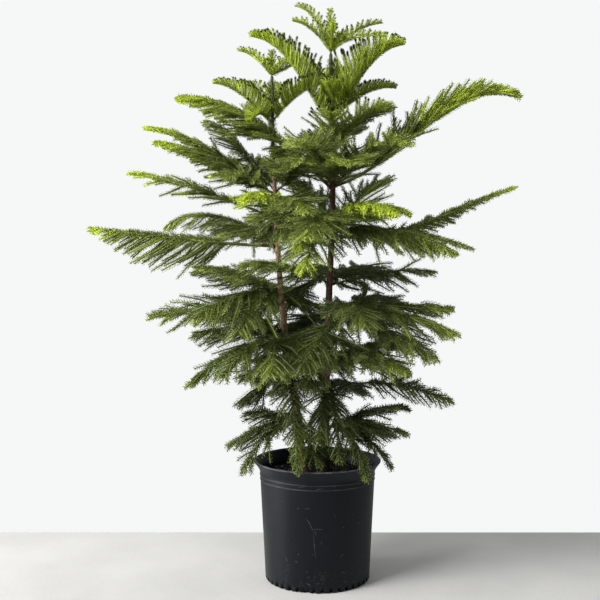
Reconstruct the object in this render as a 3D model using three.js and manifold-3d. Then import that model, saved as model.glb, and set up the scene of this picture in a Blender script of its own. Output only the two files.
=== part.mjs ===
// A potted Norfolk Island pine. Two slender stems rise from one black nursery pot, and each is
// ringed by whorls of arms that carry two ranks of needle-clad shoots, like the barbs of a feather.
// Millimetres, +Z up. The origin is the centre of the pot's flat underside, and -Y faces the viewer.
// Angles are in degrees. A turn is the compass direction of an arm: 0 is right, 90 away, 180 left.
import * as THREE from "three";
import { mergeVertices } from "three/addons/utils/BufferGeometryUtils.js";
import Module from "manifold-3d";

const wasm = await Module();
wasm.setup();

// Driving dimensions

const SEAT = 0.3; // clear gap between two pieces that meet
const SPACE = 0.8; // least gap between the shoots of two sprays

const POT = {
  height: 237,
  footRadius: 104,
  shoulderRadius: 115,
  lipRadius: 127,
  lipHeight: 25, // from the shoulder to the top of the rolled lip
  lipBow: 0.45, // share of the lip's flare that is reached halfway up it
  lipRoll: 7,
  lipCurl: [1, 2, 5], // how far the roll's lower edge, top edge and inner edge lie inside the lip's radius
  ringDrop: 14, // from the shoulder down to the moulded ring
  ringProud: 1.5,
  ringHeight: 5,
  footBevel: 7,
  wall: 3,
  floor: 4,
  sides: 28,
  drains: 10,
  drainWidth: 15,
  drainHeight: 9,
  drainDepth: 5.6, // cut in from the foot's radius
};

const SOIL_TOP = 207;

// Each stem follows a smooth line through these points, tapers from foot to tip, and flares at the soil.
const STEMS = {
  right: {
    path: [
      [15, 8, SOIL_TOP],
      [17, 6, 374],
      [23, 2, 555],
      [31, -2, 757],
      [28, -4, 925],
      [27, -4, 1050],
    ],
    footRadius: 9.2,
    tipRadius: 3.4,
  },
  left: {
    path: [
      [-27, 6, SOIL_TOP],
      [-43, 8, 344],
      [-63, 10, 474],
      [-77, 12, 615],
      [-88, 12, 826],
      [-92, 12, 1008],
    ],
    footRadius: 8.2,
    tipRadius: 3.0,
  },
};
const STEM_FLARE = { height: 16, extra: 4 };
const STEM_SIDES = 9;
const STEM_STEPS = 14;
const STEM_CROWDING = 1.35; // above 1, the steps are closer together in the flare

// An arm starts at its stem and ends at its tip, `reach` out from the stem's axis and `rise` above its
// own foot. It leaves at the angle `lift` and ends at the angle `nod`, both above the horizon.
// `bare` is the length of limb beside the stem that carries no shoots: it is a bough of its own.
const ARM = {
  footShare: 0.009, // radius at the foot for each millimetre of reach
  leastFoot: 1.9,
  tipRadius: 1.1,
  forkAt: 0.07, // place on the first arm where the other arms of one spray begin
  stagger: 5, // the sprays of one whorl leave the stem at slightly different heights
  rods: 8, // straight rods that stand for an arm in the test for room
};
const BOUGH = { sides: 5, steps: 4 };

// A shoot is a slim core with one or two rings of needles that stand forward and out of it.
const SHOOT = {
  spacing: 73, // from one pair of shoots to the next along the arm
  leastPairs: 2,
  first: 0.13, // place of the first pair on its arm
  last: 0.9,
  clear: 0.04, // share of the arm kept free between a bough's end and the first pair
  root: 7, // length of arm that a shoot grows out of
  spread: [62, 38], // angle to the arm, at its foot and near its tip
  longest: 0.5, // no shoot is longer than this share of its arm's reach
  shortest: 0.34, // length at both ends of the arm, as a share of the longest
  swell: 0.8, // below 1, lengths swell early along the arm and stay full longer
  short: 88, // a shoot under this length has one ring of needles
  core: 0.34, // radius of the core in front of the needles, as a share of their reach
  needle: 13, // how far the first ring of needles stands out
  slimmest: 0.22, // needles stand out no further than this share of their shoot's length
  shorter: [1, 0.76, 0.55, 0.4], // a shoot without room is tried again at these shares of its length
  past: 8, // no shoot is longer than the stretch of arm in front of it by more than this
  lean: 0.16, // forward curl towards the arm's tip
  jitter: 9,
  rods: 3,
};
const SHOOT_CORNERS = { root: [135, 225, 315, 405], ring: [180, 300, 420] };
const SHOOT_RINGS = [
  { at: 0.44, core: 0, needle: 1, twist: 0 },
  { at: 0.36, core: 1, needle: 0, twist: 60 },
  { at: 0.78, core: 0, needle: 0.75, twist: 60 },
];
const TUFT = { start: 0.93, spread: 0.965, neck: 0.955, needle: 5.5 }; // the needles at an arm's own tip

// An arm is three-sided. A raised one has its ridge on top and grows shoots from its two upper flanks,
// a hanging one is the other way up and grows them from its two lower flanks.
const ARM_SECTION = {
  raised: { corners: [-30, 90, 210], leftFlank: 0, rightFlank: 1 },
  hanging: { corners: [-90, 30, 150], leftFlank: 0, rightFlank: 2 },
};
const FIRST_SEED = 101;

// Colours of the needles, from the old whorls to the young ones.
const TONE = { deep: 0x2c4420, leafy: 0x46662a, fresh: 0x7c9c38 };

// One arm: its turn, reach, rise, lift and nod, then what is its own: the bare length, a hang or shoot
// length that differs from its whorl's, a roll about its length, which raises the right rank and lowers
// the left one, and a skew, which makes the right rank longer and the left one shorter by that share.
const arm = (turn, reach, rise, lift, nod, own = {}) => ({ turn, reach, rise, lift, nod, ...own });

// The whorls from the top down. `shoot` is the length of the longest shoot, `hang` the angle that the
// two ranks make with the plane of the arm (above it on young arms, below it on old ones), and `sag`
// the share of its length that a shoot droops. Each entry of `sprays` is one spray of one or more arms.
const WHORLS = [
  {
    stem: "right", number: 1, height: 1050, shoot: 16, hang: 52, sag: 0, tone: "fresh",
    sprays: {
      crown: [
        arm(95, 18, 96, 86, 70),
        arm(165, 74, 102, 66, 8),
        arm(205, 84, 60, 52, -2),
        arm(8, 105, 67, 46, 4),
        arm(335, 116, 27, 40, -14),
        arm(58, 60, 50, 48, 10),
        arm(272, 62, 48, 54, 6),
      ],
    },
  },
  {
    stem: "right", number: 2, height: 918, shoot: 60, hang: 52, sag: 0.02, tone: "fresh",
    sprays: {
      left: [arm(187, 164, 170, 52, 2, { hang: 48, roll: 20 })],
      right: [arm(344, 148, 145, 52, 2, { hang: 40, roll: -34, shoot: 85 }), arm(262, 80, 62, 50, 5)],
      back: [arm(24, 148, 69, 42, -8, { shoot: 30 }), arm(98, 140, 104, 50, 4)],
    },
  },
  {
    stem: "right", number: 3, height: 856, shoot: 60, hang: 26, sag: 0.04, tone: "fresh",
    sprays: {
      front: [arm(266, 110, 66, 45, -5), arm(320, 137, 84, 46, 0)],
      back: [arm(136, 85, 30, 40, -4, { shoot: 36 }), arm(66, 130, 46, 40, -4)],
    },
  },
  {
    stem: "right", number: 4, height: 786, shoot: 80, hang: 14, sag: 0.06, tone: "leafy",
    sprays: {
      left: [arm(191, 314, 173, 44, -6, { bare: 70, hang: -10, roll: 38, shoot: 62, skew: -0.3 })],
      right: [arm(352, 368, 169, 15, -26, { bare: 80, hang: 58, roll: -20, shoot: 72 })],
      front: [arm(250, 215, 60, 34, -12), arm(306, 225, 60, 34, -12), arm(279, 185, 20, 28, -22)],
      back: [arm(64, 200, 60, 32, -12), arm(124, 250, 60, 30, -12)],
    },
  },
  {
    stem: "right", number: 5, height: 692, shoot: 86, hang: -16, sag: 0.08, tone: "leafy",
    sprays: {
      right: [arm(8, 388, 100, -12, 16, { bare: 95, hang: -12, roll: -30, shoot: 44 })],
      front_right: [
        arm(322, 285, -40, 10, -24, { hang: -34, roll: -8, shoot: 74 }),
        arm(347, 280, -33, 8, -22, { hang: -20, shoot: 46 }),
      ],
      front: [
        arm(258, 255, -20, 28, -34),
        arm(298, 235, 24, 42, -24, { hang: -10, shoot: 34 }),
        arm(250, 165, -75, 6, -42),
        arm(236, 190, 50, 40, -8),
        arm(330, 170, 30, 40, -30, { hang: -10, shoot: 34 }),
      ],
      back: [
        arm(72, 300, 44, 22, -12),
        arm(128, 290, 36, 22, -15),
        arm(120, 150, 112, 52, 8, { hang: 10 }),
        arm(40, 153, 112, 52, 8, { hang: 10 }),
      ],
    },
  },
  {
    stem: "right", number: 6, height: 592, shoot: 70, hang: -17, sag: 0.1, tone: "deep",
    sprays: {
      right: [arm(12, 226, 24, 16, -10, { hang: -34, shoot: 62 })],
      left: [arm(200, 190, 34, 30, -14), arm(150, 200, -60, -16, -22)],
      back: [arm(60, 260, 4, 18, -20), arm(104, 275, 0, 18, -20)],
    },
  },
  {
    stem: "right", number: 7, height: 512, shoot: 92, hang: -17, sag: 0.1, tone: "leafy",
    sprays: {
      right: [
        arm(351, 250, 36, 45, 0),
        arm(334, 272, -12, 24, -26),
        arm(322, 250, -52, 2, -26),
        arm(290, 190, 10, 46, -44),
        arm(252, 180, -70, -10, -30),
        arm(5, 80, 80, 10, 86, { hang: 30, shoot: 30 }),
      ],
      back: [arm(50, 238, 34, 34, -14), arm(108, 238, -40, 4, -26)],
    },
  },
  {
    stem: "right", number: 8, height: 432, shoot: 80, hang: -17, sag: 0.1, tone: "leafy",
    sprays: {
      front_right: [arm(312, 218, 0, 24, -30), arm(332, 175, 40, 38, -20, { shoot: 60 })],
      front: [arm(252, 124, -40, 30, -55), arm(148, 170, -40, 4, -30)],
      back: [arm(34, 205, -40, 10, -26), arm(96, 205, -50, -2, -28)],
    },
  },
  {
    stem: "right", number: 9, height: 372, shoot: 60, hang: -18, sag: 0.12, tone: "deep",
    sprays: {
      right: [arm(9, 268, -26, 28, -26, { bare: 80, hang: -6, roll: -40, shoot: 56 })],
      front: [arm(282, 112, -122, 24, -80), arm(262, 120, -84, 20, -62)],
      back: [arm(66, 198, -34, 10, -28), arm(128, 190, -32, 10, -28)],
    },
  },
  {
    stem: "right", number: 10, height: 302, shoot: 56, hang: -14, sag: 0.12, tone: "deep",
    sprays: {
      right: [arm(14, 176, 36, 22, -6), arm(36, 180, -36, 8, -32), arm(352, 165, -6, 18, -16)],
      over_rim: [arm(350, 135, -82, 12, -62, { shoot: 34 }), arm(303, 143, -86, 12, -64, { shoot: 34 })],
    },
  },
  {
    stem: "left", number: 1, height: 1008, shoot: 14, hang: 52, sag: 0, tone: "fresh",
    sprays: {
      crown: [
        arm(95, 5, 54, 88, 84),
        arm(182, 68, 53, 52, 2),
        arm(12, 52, 30, 22, 24),
        arm(330, 46, 34, 36, 10),
        arm(112, 56, 40, 42, 6),
      ],
    },
  },
  {
    stem: "left", number: 2, height: 920, shoot: 34, hang: 48, sag: 0.02, tone: "fresh",
    sprays: {
      left: [arm(181, 120, 80, 46, 2), arm(250, 125, -12, 28, -26)],
      right: [arm(338, 138, 66, 52, -18)],
      back: [arm(130, 114, 78, 46, 0), arm(78, 110, 76, 50, 4)],
    },
  },
  {
    stem: "left", number: 3, height: 776, shoot: 70, hang: -6, sag: 0.06, tone: "leafy",
    sprays: {
      left: [
        arm(179, 266, 133, 32, 2, { hang: 4, roll: 8, shoot: 42 }),
        arm(198, 244, 97, 26, 4, { hang: -16, roll: 12, shoot: 48 }),
        arm(224, 160, 30, 22, -14),
      ],
      right: [arm(349, 246, 164, 40, 6), arm(290, 180, 46, 32, -14)],
      back: [
        arm(150, 175, 148, 42, 6, { hang: -30, shoot: 60 }),
        arm(94, 225, 70, 30, -10),
        arm(52, 205, 66, 30, -10),
      ],
    },
  },
  {
    stem: "left", number: 4, height: 728, shoot: 74, hang: -8, sag: 0.06, tone: "leafy",
    sprays: {
      left: [arm(177, 300, 91, 20, 6, { bare: 75, hang: 6, roll: 16, shoot: 50, skew: -0.3 })],
      front: [
        arm(256, 205, 24, 30, -18, { hang: -4, shoot: 54 }),
        arm(286, 225, -2, 28, -28),
        arm(288, 170, -72, 6, -42),
      ],
    },
  },
  {
    stem: "left", number: 5, height: 670, shoot: 88, hang: -16, sag: 0.08, tone: "leafy",
    sprays: {
      left: [arm(185, 378, 36, 2, 8, { bare: 95, hang: -18, roll: 42, shoot: 92, skew: -0.38 })],
      back_left: [arm(166, 245, 30, 40, -48, { hang: -46, shoot: 62 })],
      back: [arm(116, 315, 10, 20, -18), arm(80, 290, 8, 20, -18)],
    },
  },
  {
    stem: "left", number: 6, height: 574, shoot: 84, hang: -17, sag: 0.1, tone: "leafy",
    sprays: {
      left: [arm(191, 264, -42, -4, 0, { bare: 75, hang: 8, roll: 28, shoot: 88 })],
      front_left: [
        arm(218, 205, -48, 6, -30),
        arm(207, 186, 50, 30, -4, { hang: -30, shoot: 46 }),
        arm(242, 180, -80, -6, -34),
      ],
      back: [
        arm(168, 178, 36, 26, -10),
        arm(124, 220, -60, -4, -26),
        arm(80, 205, -50, 0, -24),
        arm(22, 150, -56, -30, -14),
      ],
    },
  },
  {
    stem: "left", number: 7, height: 480, shoot: 90, hang: -17, sag: 0.1, tone: "leafy",
    sprays: {
      left: [arm(199, 205, -85, 6, -42, { hang: -10, shoot: 66 })],
      front_left: [arm(232, 190, -60, 12, -40), arm(262, 190, -55, 14, -38), arm(292, 170, -42, 14, -34)],
      back: [
        arm(177, 186, 0, 22, -16),
        arm(136, 210, 32, 34, -10),
        arm(90, 200, -50, 4, -28),
        arm(36, 170, -30, 14, -26),
      ],
    },
  },
  {
    stem: "left", number: 8, height: 402, shoot: 80, hang: -17, sag: 0.1, tone: "leafy",
    sprays: {
      front: [arm(236, 150, 12, 30, -34), arm(274, 150, -161, 30, -84, { hang: -14, shoot: 38 })],
      back: [arm(150, 125, -66, -6, -36), arm(100, 172, 16, 30, -18)],
    },
  },
  {
    stem: "left", number: 9, height: 312, shoot: 52, hang: -14, sag: 0.12, tone: "deep",
    sprays: {
      left: [arm(184, 141, -44, 14, -34), arm(205, 121, -88, 6, -62), arm(288, 118, -66, 16, -60)],
      back: [arm(164, 112, 10, 20, -14), arm(108, 130, -24, 10, -26)],
    },
  },
];

// Small helpers

const UP = new THREE.Vector3(0, 0, 1);
const radians = THREE.MathUtils.degToRad;
const mix = THREE.MathUtils.lerp;

function seededRandom(seed) {
  return () => {
    seed = (seed + 0x6d2b79f5) | 0;
    let t = Math.imul(seed ^ (seed >>> 15), 1 | seed);
    t = (t + Math.imul(t ^ (t >>> 7), 61 | t)) ^ t;
    return ((t ^ (t >>> 14)) >>> 0) / 4294967296;
  };
}

// A closed geometry as a solid: vertices merged, collapsed triangles dropped.
function solidOf(geometry) {
  geometry.deleteAttribute("normal");
  geometry.deleteAttribute("uv");
  const merged = mergeVertices(geometry, 1e-4);
  const corners = merged.index.array;
  const kept = [];
  for (let i = 0; i < corners.length; i += 3) {
    const [a, b, c] = corners.slice(i, i + 3);
    if (a !== b && b !== c && c !== a) kept.push(a, b, c);
  }
  return new wasm.Manifold(new wasm.Mesh({
    numProp: 3,
    vertProperties: new Float32Array(merged.attributes.position.array),
    triVerts: new Uint32Array(kept),
  }));
}

function geometryOf(solid) {
  const { vertProperties, triVerts } = solid.getMesh();
  const geometry = new THREE.BufferGeometry();
  geometry.setAttribute("position", new THREE.BufferAttribute(vertProperties, 3));
  geometry.setIndex(new THREE.BufferAttribute(triVerts, 1));
  geometry.computeVertexNormals();
  return geometry;
}

// A limb is a cylinder bent along a curve. Each ring has its place `at` on the curve, a radius, a twist
// and, at a flat cut, the direction that the cut faces. `side` is a vector across the limb.
function limb(curve, side, sides, rings) {
  const geometry = new THREE.CylinderGeometry(1, 1, 1, sides, rings.length - 1);
  const frames = rings.map((ring) => {
    const facing = ring.facing ?? curve.getTangent(Math.min(ring.at, 1));
    const across = side.clone().addScaledVector(facing, -side.dot(facing)).normalize();
    const over = new THREE.Vector3().crossVectors(across, facing);
    return { ring, across, over, centre: curve.getPoint(ring.at) };
  });
  const position = geometry.attributes.position;
  for (let i = 0; i < position.count; i++) {
    const step = Math.round((position.getY(i) + 0.5) * (rings.length - 1));
    const { ring, across, over, centre } = frames[step];
    const turn = radians(ring.twist ?? 0);
    const x = position.getX(i) * Math.cos(turn) - position.getZ(i) * Math.sin(turn);
    const z = position.getX(i) * Math.sin(turn) + position.getZ(i) * Math.cos(turn);
    const point = centre.clone()
      .addScaledVector(across, x * ring.radius)
      .addScaledVector(over, z * ring.radius);
    position.setXYZ(i, point.x, point.y, point.z);
  }
  return solidOf(geometry);
}

// A skin is built ring by ring. Rings turn anticlockwise as seen from the end that they grow towards,
// and each ring knows the angles of its corners.
class Skin {
  positions = [];
  corners = [];

  point({ x, y, z }) {
    this.positions.push(x, y, z);
    return this.positions.length / 3 - 1;
  }

  ring(centre, facing, towards, radius, angles) {
    const first = towards.clone().addScaledVector(facing, -towards.dot(facing)).normalize();
    const second = new THREE.Vector3().crossVectors(facing, first);
    const points = angles.map((angle) => this.point(centre.clone()
      .addScaledVector(first, radius * Math.cos(radians(angle)))
      .addScaledVector(second, radius * Math.sin(radians(angle)))));
    return { points, angles };
  }

  face(...abc) {
    this.corners.push(...abc);
  }

  // Joins two rings with a band of triangles, always stepping to the corner that comes next in angle.
  bridge(lower, upper) {
    const corner = ({ points }, i) => points[i % points.length];
    const angle = ({ points, angles }, i) => angles[i % points.length] + 360 * Math.floor(i / points.length);
    let [i, j] = [0, 0];
    while (i < lower.points.length || j < upper.points.length) {
      const stepLower = j === upper.points.length ||
        (i < lower.points.length && angle(lower, i + 1) <= angle(upper, j + 1));
      if (stepLower) {
        this.face(corner(lower, i), corner(lower, i + 1), corner(upper, j));
        i++;
      } else {
        this.face(corner(lower, i), corner(upper, j + 1), corner(upper, j));
        j++;
      }
    }
  }

  comeToPoint({ points }, tip) {
    const end = this.point(tip);
    points.forEach((a, i) => this.face(a, points[(i + 1) % points.length], end));
  }

  solid() {
    return new wasm.Manifold(new wasm.Mesh({
      numProp: 3,
      vertProperties: new Float32Array(this.positions),
      triVerts: new Uint32Array(this.corners),
    }));
  }
}

// Pot and soil

const innerRadiusAt = (z) =>
  mix(POT.footRadius, POT.shoulderRadius, z / (POT.height - POT.lipHeight)) - POT.wall;

function lathe(profile) {
  const points = profile.map(([radius, z]) => new THREE.Vector2(radius, z));
  return solidOf(new THREE.LatheGeometry(points, POT.sides).rotateX(Math.PI / 2));
}

function pot() {
  const shoulder = POT.height - POT.lipHeight;
  const ring = shoulder - POT.ringDrop;
  const outerAt = (z) => innerRadiusAt(z) + POT.wall;
  const bowRadius = mix(POT.shoulderRadius, POT.lipRadius, POT.lipBow);
  const bowHeight = POT.height - POT.lipHeight / 2;
  const [lowerEdge, topEdge, innerEdge] = POT.lipCurl.map((inset) => POT.lipRadius - inset);
  const shell = lathe([
    [0, 0],
    [POT.footRadius - POT.footBevel, 0],
    [outerAt(POT.footBevel), POT.footBevel],
    [outerAt(ring - POT.ringHeight), ring - POT.ringHeight],
    [outerAt(ring) + POT.ringProud, ring],
    [POT.shoulderRadius + POT.ringProud, shoulder],
    [bowRadius, bowHeight],
    [lowerEdge, POT.height - POT.lipRoll],
    [POT.lipRadius, POT.height - POT.lipRoll / 2],
    [topEdge, POT.height],
    [innerEdge, POT.height],
    [bowRadius - POT.wall, bowHeight],
    [innerRadiusAt(shoulder), shoulder],
    [innerRadiusAt(POT.floor), POT.floor],
    [0, POT.floor],
  ]);
  const drains = [];
  for (let i = 0; i < POT.drains; i++) {
    const hole = new THREE.BoxGeometry(POT.drainDepth * 4, POT.drainWidth, POT.drainHeight * 2);
    hole.translate(POT.footRadius + POT.drainDepth, 0, 0);
    hole.rotateZ((2 * Math.PI * (i + 0.5)) / POT.drains);
    drains.push(solidOf(hole));
  }
  return shell.subtract(wasm.Manifold.union(drains));
}

function soil() {
  const bottom = POT.floor + SEAT;
  return lathe([
    [0, bottom],
    [innerRadiusAt(bottom) - 2 * SEAT, bottom],
    [innerRadiusAt(SOIL_TOP) - 2 * SEAT, SOIL_TOP],
    [0, SOIL_TOP],
  ]);
}

// Stems

function stemLine(stem) {
  const points = STEMS[stem].path.map((p) => new THREE.Vector3(...p));
  points[0].z += SEAT;
  return new THREE.CatmullRomCurve3(points);
}

function stemRadiusAt(stem, z) {
  const { path, footRadius, tipRadius } = STEMS[stem];
  const share = (z - SOIL_TOP) / (path.at(-1)[2] - SOIL_TOP);
  const flare = STEM_FLARE.extra * Math.exp((SOIL_TOP - z) / STEM_FLARE.height);
  return mix(footRadius, tipRadius, share) + flare;
}

// The point on a stem's axis at a height, found by halving.
function stemPointAt(stem, z) {
  const line = stemLine(stem);
  let [low, high] = [0, 1];
  for (let i = 0; i < 40; i++) {
    const middle = (low + high) / 2;
    if (line.getPoint(middle).z < z) low = middle;
    else high = middle;
  }
  return line.getPoint(low);
}

function stemRings(stem) {
  const line = stemLine(stem);
  const rings = [];
  for (let i = 0; i <= STEM_STEPS; i++) {
    const at = Math.pow(i / STEM_STEPS, STEM_CROWDING);
    const cut = i === 0 || i === STEM_STEPS;
    const radius = stemRadiusAt(stem, line.getPoint(at).z);
    rings.push({ at, radius, facing: cut ? UP : undefined });
  }
  return rings;
}

// Arms and shoots

const compass = (turn) => new THREE.Vector3(Math.cos(radians(turn)), Math.sin(radians(turn)), 0);

function tilted(ahead, angle) {
  const [level, upward] = [Math.cos(radians(angle)), Math.sin(radians(angle))];
  return ahead.clone().multiplyScalar(level).addScaledVector(UP, upward);
}

const rightOf = (arm) => new THREE.Vector3().crossVectors(compass(arm.turn), UP);

function armLine(arm, foot, start) {
  const ahead = compass(arm.turn);
  const tip = foot.clone().addScaledVector(ahead, arm.reach).addScaledVector(UP, arm.rise);
  const pull = tip.distanceTo(start) / 3;
  return new THREE.CubicBezierCurve3(
    start,
    start.clone().addScaledVector(tilted(ahead, arm.lift), pull),
    tip.clone().addScaledVector(tilted(ahead, arm.nod), -pull),
    tip,
  );
}

const armRadiusAt = (arm, at) =>
  mix(Math.max(ARM.leastFoot, ARM.footShare * arm.reach), ARM.tipRadius, at);

const hangOf = (whorl, arm) => arm.hang ?? whorl.hang;

// Shoots are longest near the middle of the arm and short at both of its ends.
function shootLengthAt(whorl, arm, at, rank) {
  const longest = Math.min(arm.shoot ?? whorl.shoot, SHOOT.longest * Math.max(arm.reach, arm.rise));
  const fullness = Math.pow(Math.sin(Math.PI * Math.pow(at, SHOOT.swell)), SHOOT.swell);
  return longest * mix(SHOOT.shortest, 1, fullness) * (1 + rank * (arm.skew ?? 0));
}

// The left rank has the sign -1 and the right rank +1, as seen from the stem.
function shootLine(whorl, arm, line, at, rank, share, sway) {
  const ahead = line.getTangent(at);
  const across = rightOf(arm);
  const over = new THREE.Vector3().crossVectors(across, ahead);
  const spread = radians(mix(...SHOOT.spread, at) + sway);
  const hang = radians(hangOf(whorl, arm) + rank * (arm.roll ?? 0) + sway);
  const out = ahead.clone().multiplyScalar(Math.cos(spread))
    .addScaledVector(across, rank * Math.sin(spread) * Math.cos(hang))
    .addScaledVector(over, Math.sin(spread) * Math.sin(hang));
  const stretch = line.getLength() * (1 - at) + SHOOT.past;
  const length = Math.min(shootLengthAt(whorl, arm, at, rank), stretch) * share;
  const root = line.getPoint(at);
  const tip = root.clone().addScaledVector(out, length)
    .addScaledVector(ahead, SHOOT.lean * length)
    .addScaledVector(UP, -whorl.sag * length);
  return new THREE.QuadraticBezierCurve3(root, root.clone().addScaledVector(out, length / 2), tip);
}

const needleReach = (curve) => Math.min(SHOOT.needle, SHOOT.slimmest * curve.getLength());

// Draws a shoot out of the four corners of its root.
function drawShoot(skin, root, curve, ahead) {
  const reach = needleReach(curve);
  let last = root;
  const rings = curve.getLength() < SHOOT.short ? SHOOT_RINGS.slice(0, 2) : SHOOT_RINGS;
  for (const { at, core, needle, twist } of rings) {
    const radius = reach * (core * SHOOT.core + needle);
    const angles = SHOOT_CORNERS.ring.map((angle) => angle + twist);
    const next = skin.ring(curve.getPoint(at), curve.getTangent(at), ahead, radius, angles);
    skin.bridge(last, next);
    last = next;
  }
  skin.comeToPoint(last, curve.getPoint(1));
}

// Room: each piece is remembered as a chain of round rods, so that a shoot can be tested against the
// rods of every other piece before it is grown. The arms of one spray may meet at their feet.

const rods = [];

function chain(owner, curve, radiusAt, steps) {
  const made = [];
  for (let i = 0; i < steps; i++) {
    const [from, to] = [i / steps, (i + 1) / steps];
    const radius = Math.max(radiusAt(from), radiusAt(to));
    const line = new THREE.Line3(curve.getPoint(from), curve.getPoint(to));
    made.push({ ...owner, foot: i === 0, radius, line });
  }
  return made;
}

function gapBetween(a, b) {
  return Math.sqrt(a.line.distanceSqToLine3(b.line)) - a.radius - b.radius;
}

// True where a rod would touch the pot, its lip or the soil.
function touchesPot({ line, radius }) {
  const clear = radius + SPACE;
  for (const share of [0, 0.25, 0.5, 0.75, 1]) {
    const point = line.at(share, new THREE.Vector3());
    const out = Math.hypot(point.x, point.y);
    if (point.z < POT.height + clear && out < POT.lipRadius + clear) {
      const overSoil = out < POT.shoulderRadius - POT.wall - clear && point.z > SOIL_TOP + clear;
      if (!overSoil) return true;
    }
  }
  return false;
}

function mayTouch(rod, other) {
  if (rod.spray !== other.spray) return false;
  return rod.arm === other.arm || other.foot;
}

const hasRoom = (made) =>
  made.every((rod) => !touchesPot(rod) &&
    rods.every((other) => mayTouch(rod, other) || gapBetween(rod, other) > SPACE));

// Sprays: the arms are laid out first, so that every shoot keeps clear of every arm.

function layOut(whorl, label, arms, order) {
  const name = `${whorl.stem}_whorl_${whorl.number}_${label}`;
  const crown = label === "crown";
  const height = whorl.height + (crown ? 0 : ARM.stagger * ((order % 3) - 1));
  const foot = stemPointAt(whorl.stem, height);
  const lines = [];
  for (const arm of arms) {
    const facing = crown ? UP : compass(arm.turn);
    const stemRadius = crown ? 0 : stemRadiusAt(whorl.stem, height);
    const start = lines.length
      ? lines[0].getPoint(ARM.forkAt)
      : foot.clone().addScaledVector(facing, stemRadius + SEAT);
    lines.push(armLine(arm, foot, start));
  }
  arms.forEach((arm, i) =>
    rods.push(...chain({ spray: name, arm: i }, lines[i], (at) => armRadiusAt(arm, at), ARM.rods)));
  const from = arms[0].bare ? arms[0].bare / lines[0].getLength() : 0;
  return { name, whorl, arms, lines, crown, from };
}

function bough({ arms, lines, from }) {
  const end = from - SEAT / lines[0].getLength();
  const rings = [];
  for (let i = 0; i <= BOUGH.steps; i++) {
    const at = (end * i) / BOUGH.steps;
    const facing = i === 0 ? compass(arms[0].turn) : undefined;
    rings.push({ at, radius: armRadiusAt(arms[0], at), facing });
  }
  return limb(lines[0], rightOf(arms[0]), BOUGH.sides, rings);
}

// Finds room for one shoot, shorter if need be.
function findShoot(spray, i, at, rank, sway) {
  const [arm, line] = [spray.arms[i], spray.lines[i]];
  for (const share of SHOOT.shorter) {
    const curve = shootLine(spray.whorl, arm, line, at, rank, share, sway);
    const made = chain({ spray: spray.name, arm: i }, curve, () => needleReach(curve), SHOOT.rods);
    if (hasRoom(made)) {
      rods.push(...made);
      return curve;
    }
  }
  return null;
}

// An arm and its shoots are one skin: a three-sided stem whose rings come in pairs, and between the
// two rings of a pair the flanks are drawn out into shoots.
function armSolid(spray, i, random) {
  const [arm, line, { whorl }] = [spray.arms[i], spray.lines[i], spray];
  const from = i === 0 ? spray.from : 0;
  const length = line.getLength();
  const left = rightOf(arm).negate();
  const pose = hangOf(whorl, arm) >= 0 ? "raised" : "hanging";
  const { corners: section, leftFlank, rightFlank } = ARM_SECTION[pose];
  const skin = new Skin();
  const ringAt = (at, facing = line.getTangent(at), radius = armRadiusAt(arm, at)) =>
    skin.ring(line.getPoint(at), facing, left, radius, section);

  const cut = spray.crown ? UP : compass(arm.turn);
  let last = ringAt(from, i === 0 && !from ? cut : undefined);
  const [a, b, c] = last.points;
  skin.face(a, c, b);

  const pairs = Math.max(SHOOT.leastPairs, Math.round((length * (1 - from)) / SHOOT.spacing));
  const start = Math.max(SHOOT.first, from + SHOOT.clear);
  for (let pair = 0; pair < pairs; pair++) {
    const at = mix(start, SHOOT.last, pair / (pairs - 1));
    const half = SHOOT.root / 2 / length;
    const before = ringAt(at - half);
    const after = ringAt(at + half);
    skin.bridge(last, before);
    const sways = [random(), random()].map((share) => (share - 0.5) * 2 * SHOOT.jitter);
    const shoots = {
      [leftFlank]: findShoot(spray, i, at, -1, sways[0]),
      [rightFlank]: findShoot(spray, i, at, 1, sways[1]),
    };
    section.forEach((_, k) => {
      const next = (k + 1) % section.length;
      const points = [before.points[k], before.points[next], after.points[next], after.points[k]];
      const root = { points, angles: SHOOT_CORNERS.root };
      if (shoots[k]) drawShoot(skin, root, shoots[k], line.getTangent(at));
      else skin.face(points[0], points[1], points[2], points[0], points[2], points[3]);
    });
    last = after;
  }

  const spread = Math.min(TUFT.needle, SHOOT.slimmest * arm.reach);
  const tuft = [ringAt(TUFT.start), ringAt(TUFT.spread, undefined, spread), ringAt(TUFT.neck)];
  for (const ring of tuft) {
    skin.bridge(last, ring);
    last = ring;
  }
  skin.comeToPoint(last, line.getPoint(1));
  return skin.solid();
}

function spraySolid(spray, seed) {
  const random = seededRandom(seed);
  return wasm.Manifold.union(spray.arms.map((_, i) => armSolid(spray, i, random)));
}

// Assembly

const plant = new THREE.Group();

const surface = (color, roughness) => new THREE.MeshStandardMaterial({ color, roughness, metalness: 0 });
const finishes = {
  pot: surface(0x26292c, 0.5),
  soil: surface(0x1c1613, 0.95),
  bark: surface(0x7a4c34, 0.85),
  deep: surface(TONE.deep, 0.6),
  leafy: surface(TONE.leafy, 0.6),
  fresh: surface(TONE.fresh, 0.55),
};

function place(name, solid, finish) {
  const mesh = new THREE.Mesh(geometryOf(solid), finishes[finish]);
  mesh.name = name;
  plant.add(mesh);
}

place("pot", pot(), "pot");
place("soil", soil(), "soil");
for (const stem of Object.keys(STEMS)) {
  const line = stemLine(stem);
  const radiusAt = (at) => stemRadiusAt(stem, line.getPoint(at).z);
  place(`${stem}_stem`, limb(line, compass(0), STEM_SIDES, stemRings(stem)), "bark");
  rods.push(...chain({ spray: stem }, line, radiusAt, STEM_STEPS));
}

const sprays = WHORLS.flatMap((whorl) =>
  Object.entries(whorl.sprays).map(([label, arms], order) => layOut(whorl, label, arms, order)));

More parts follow.
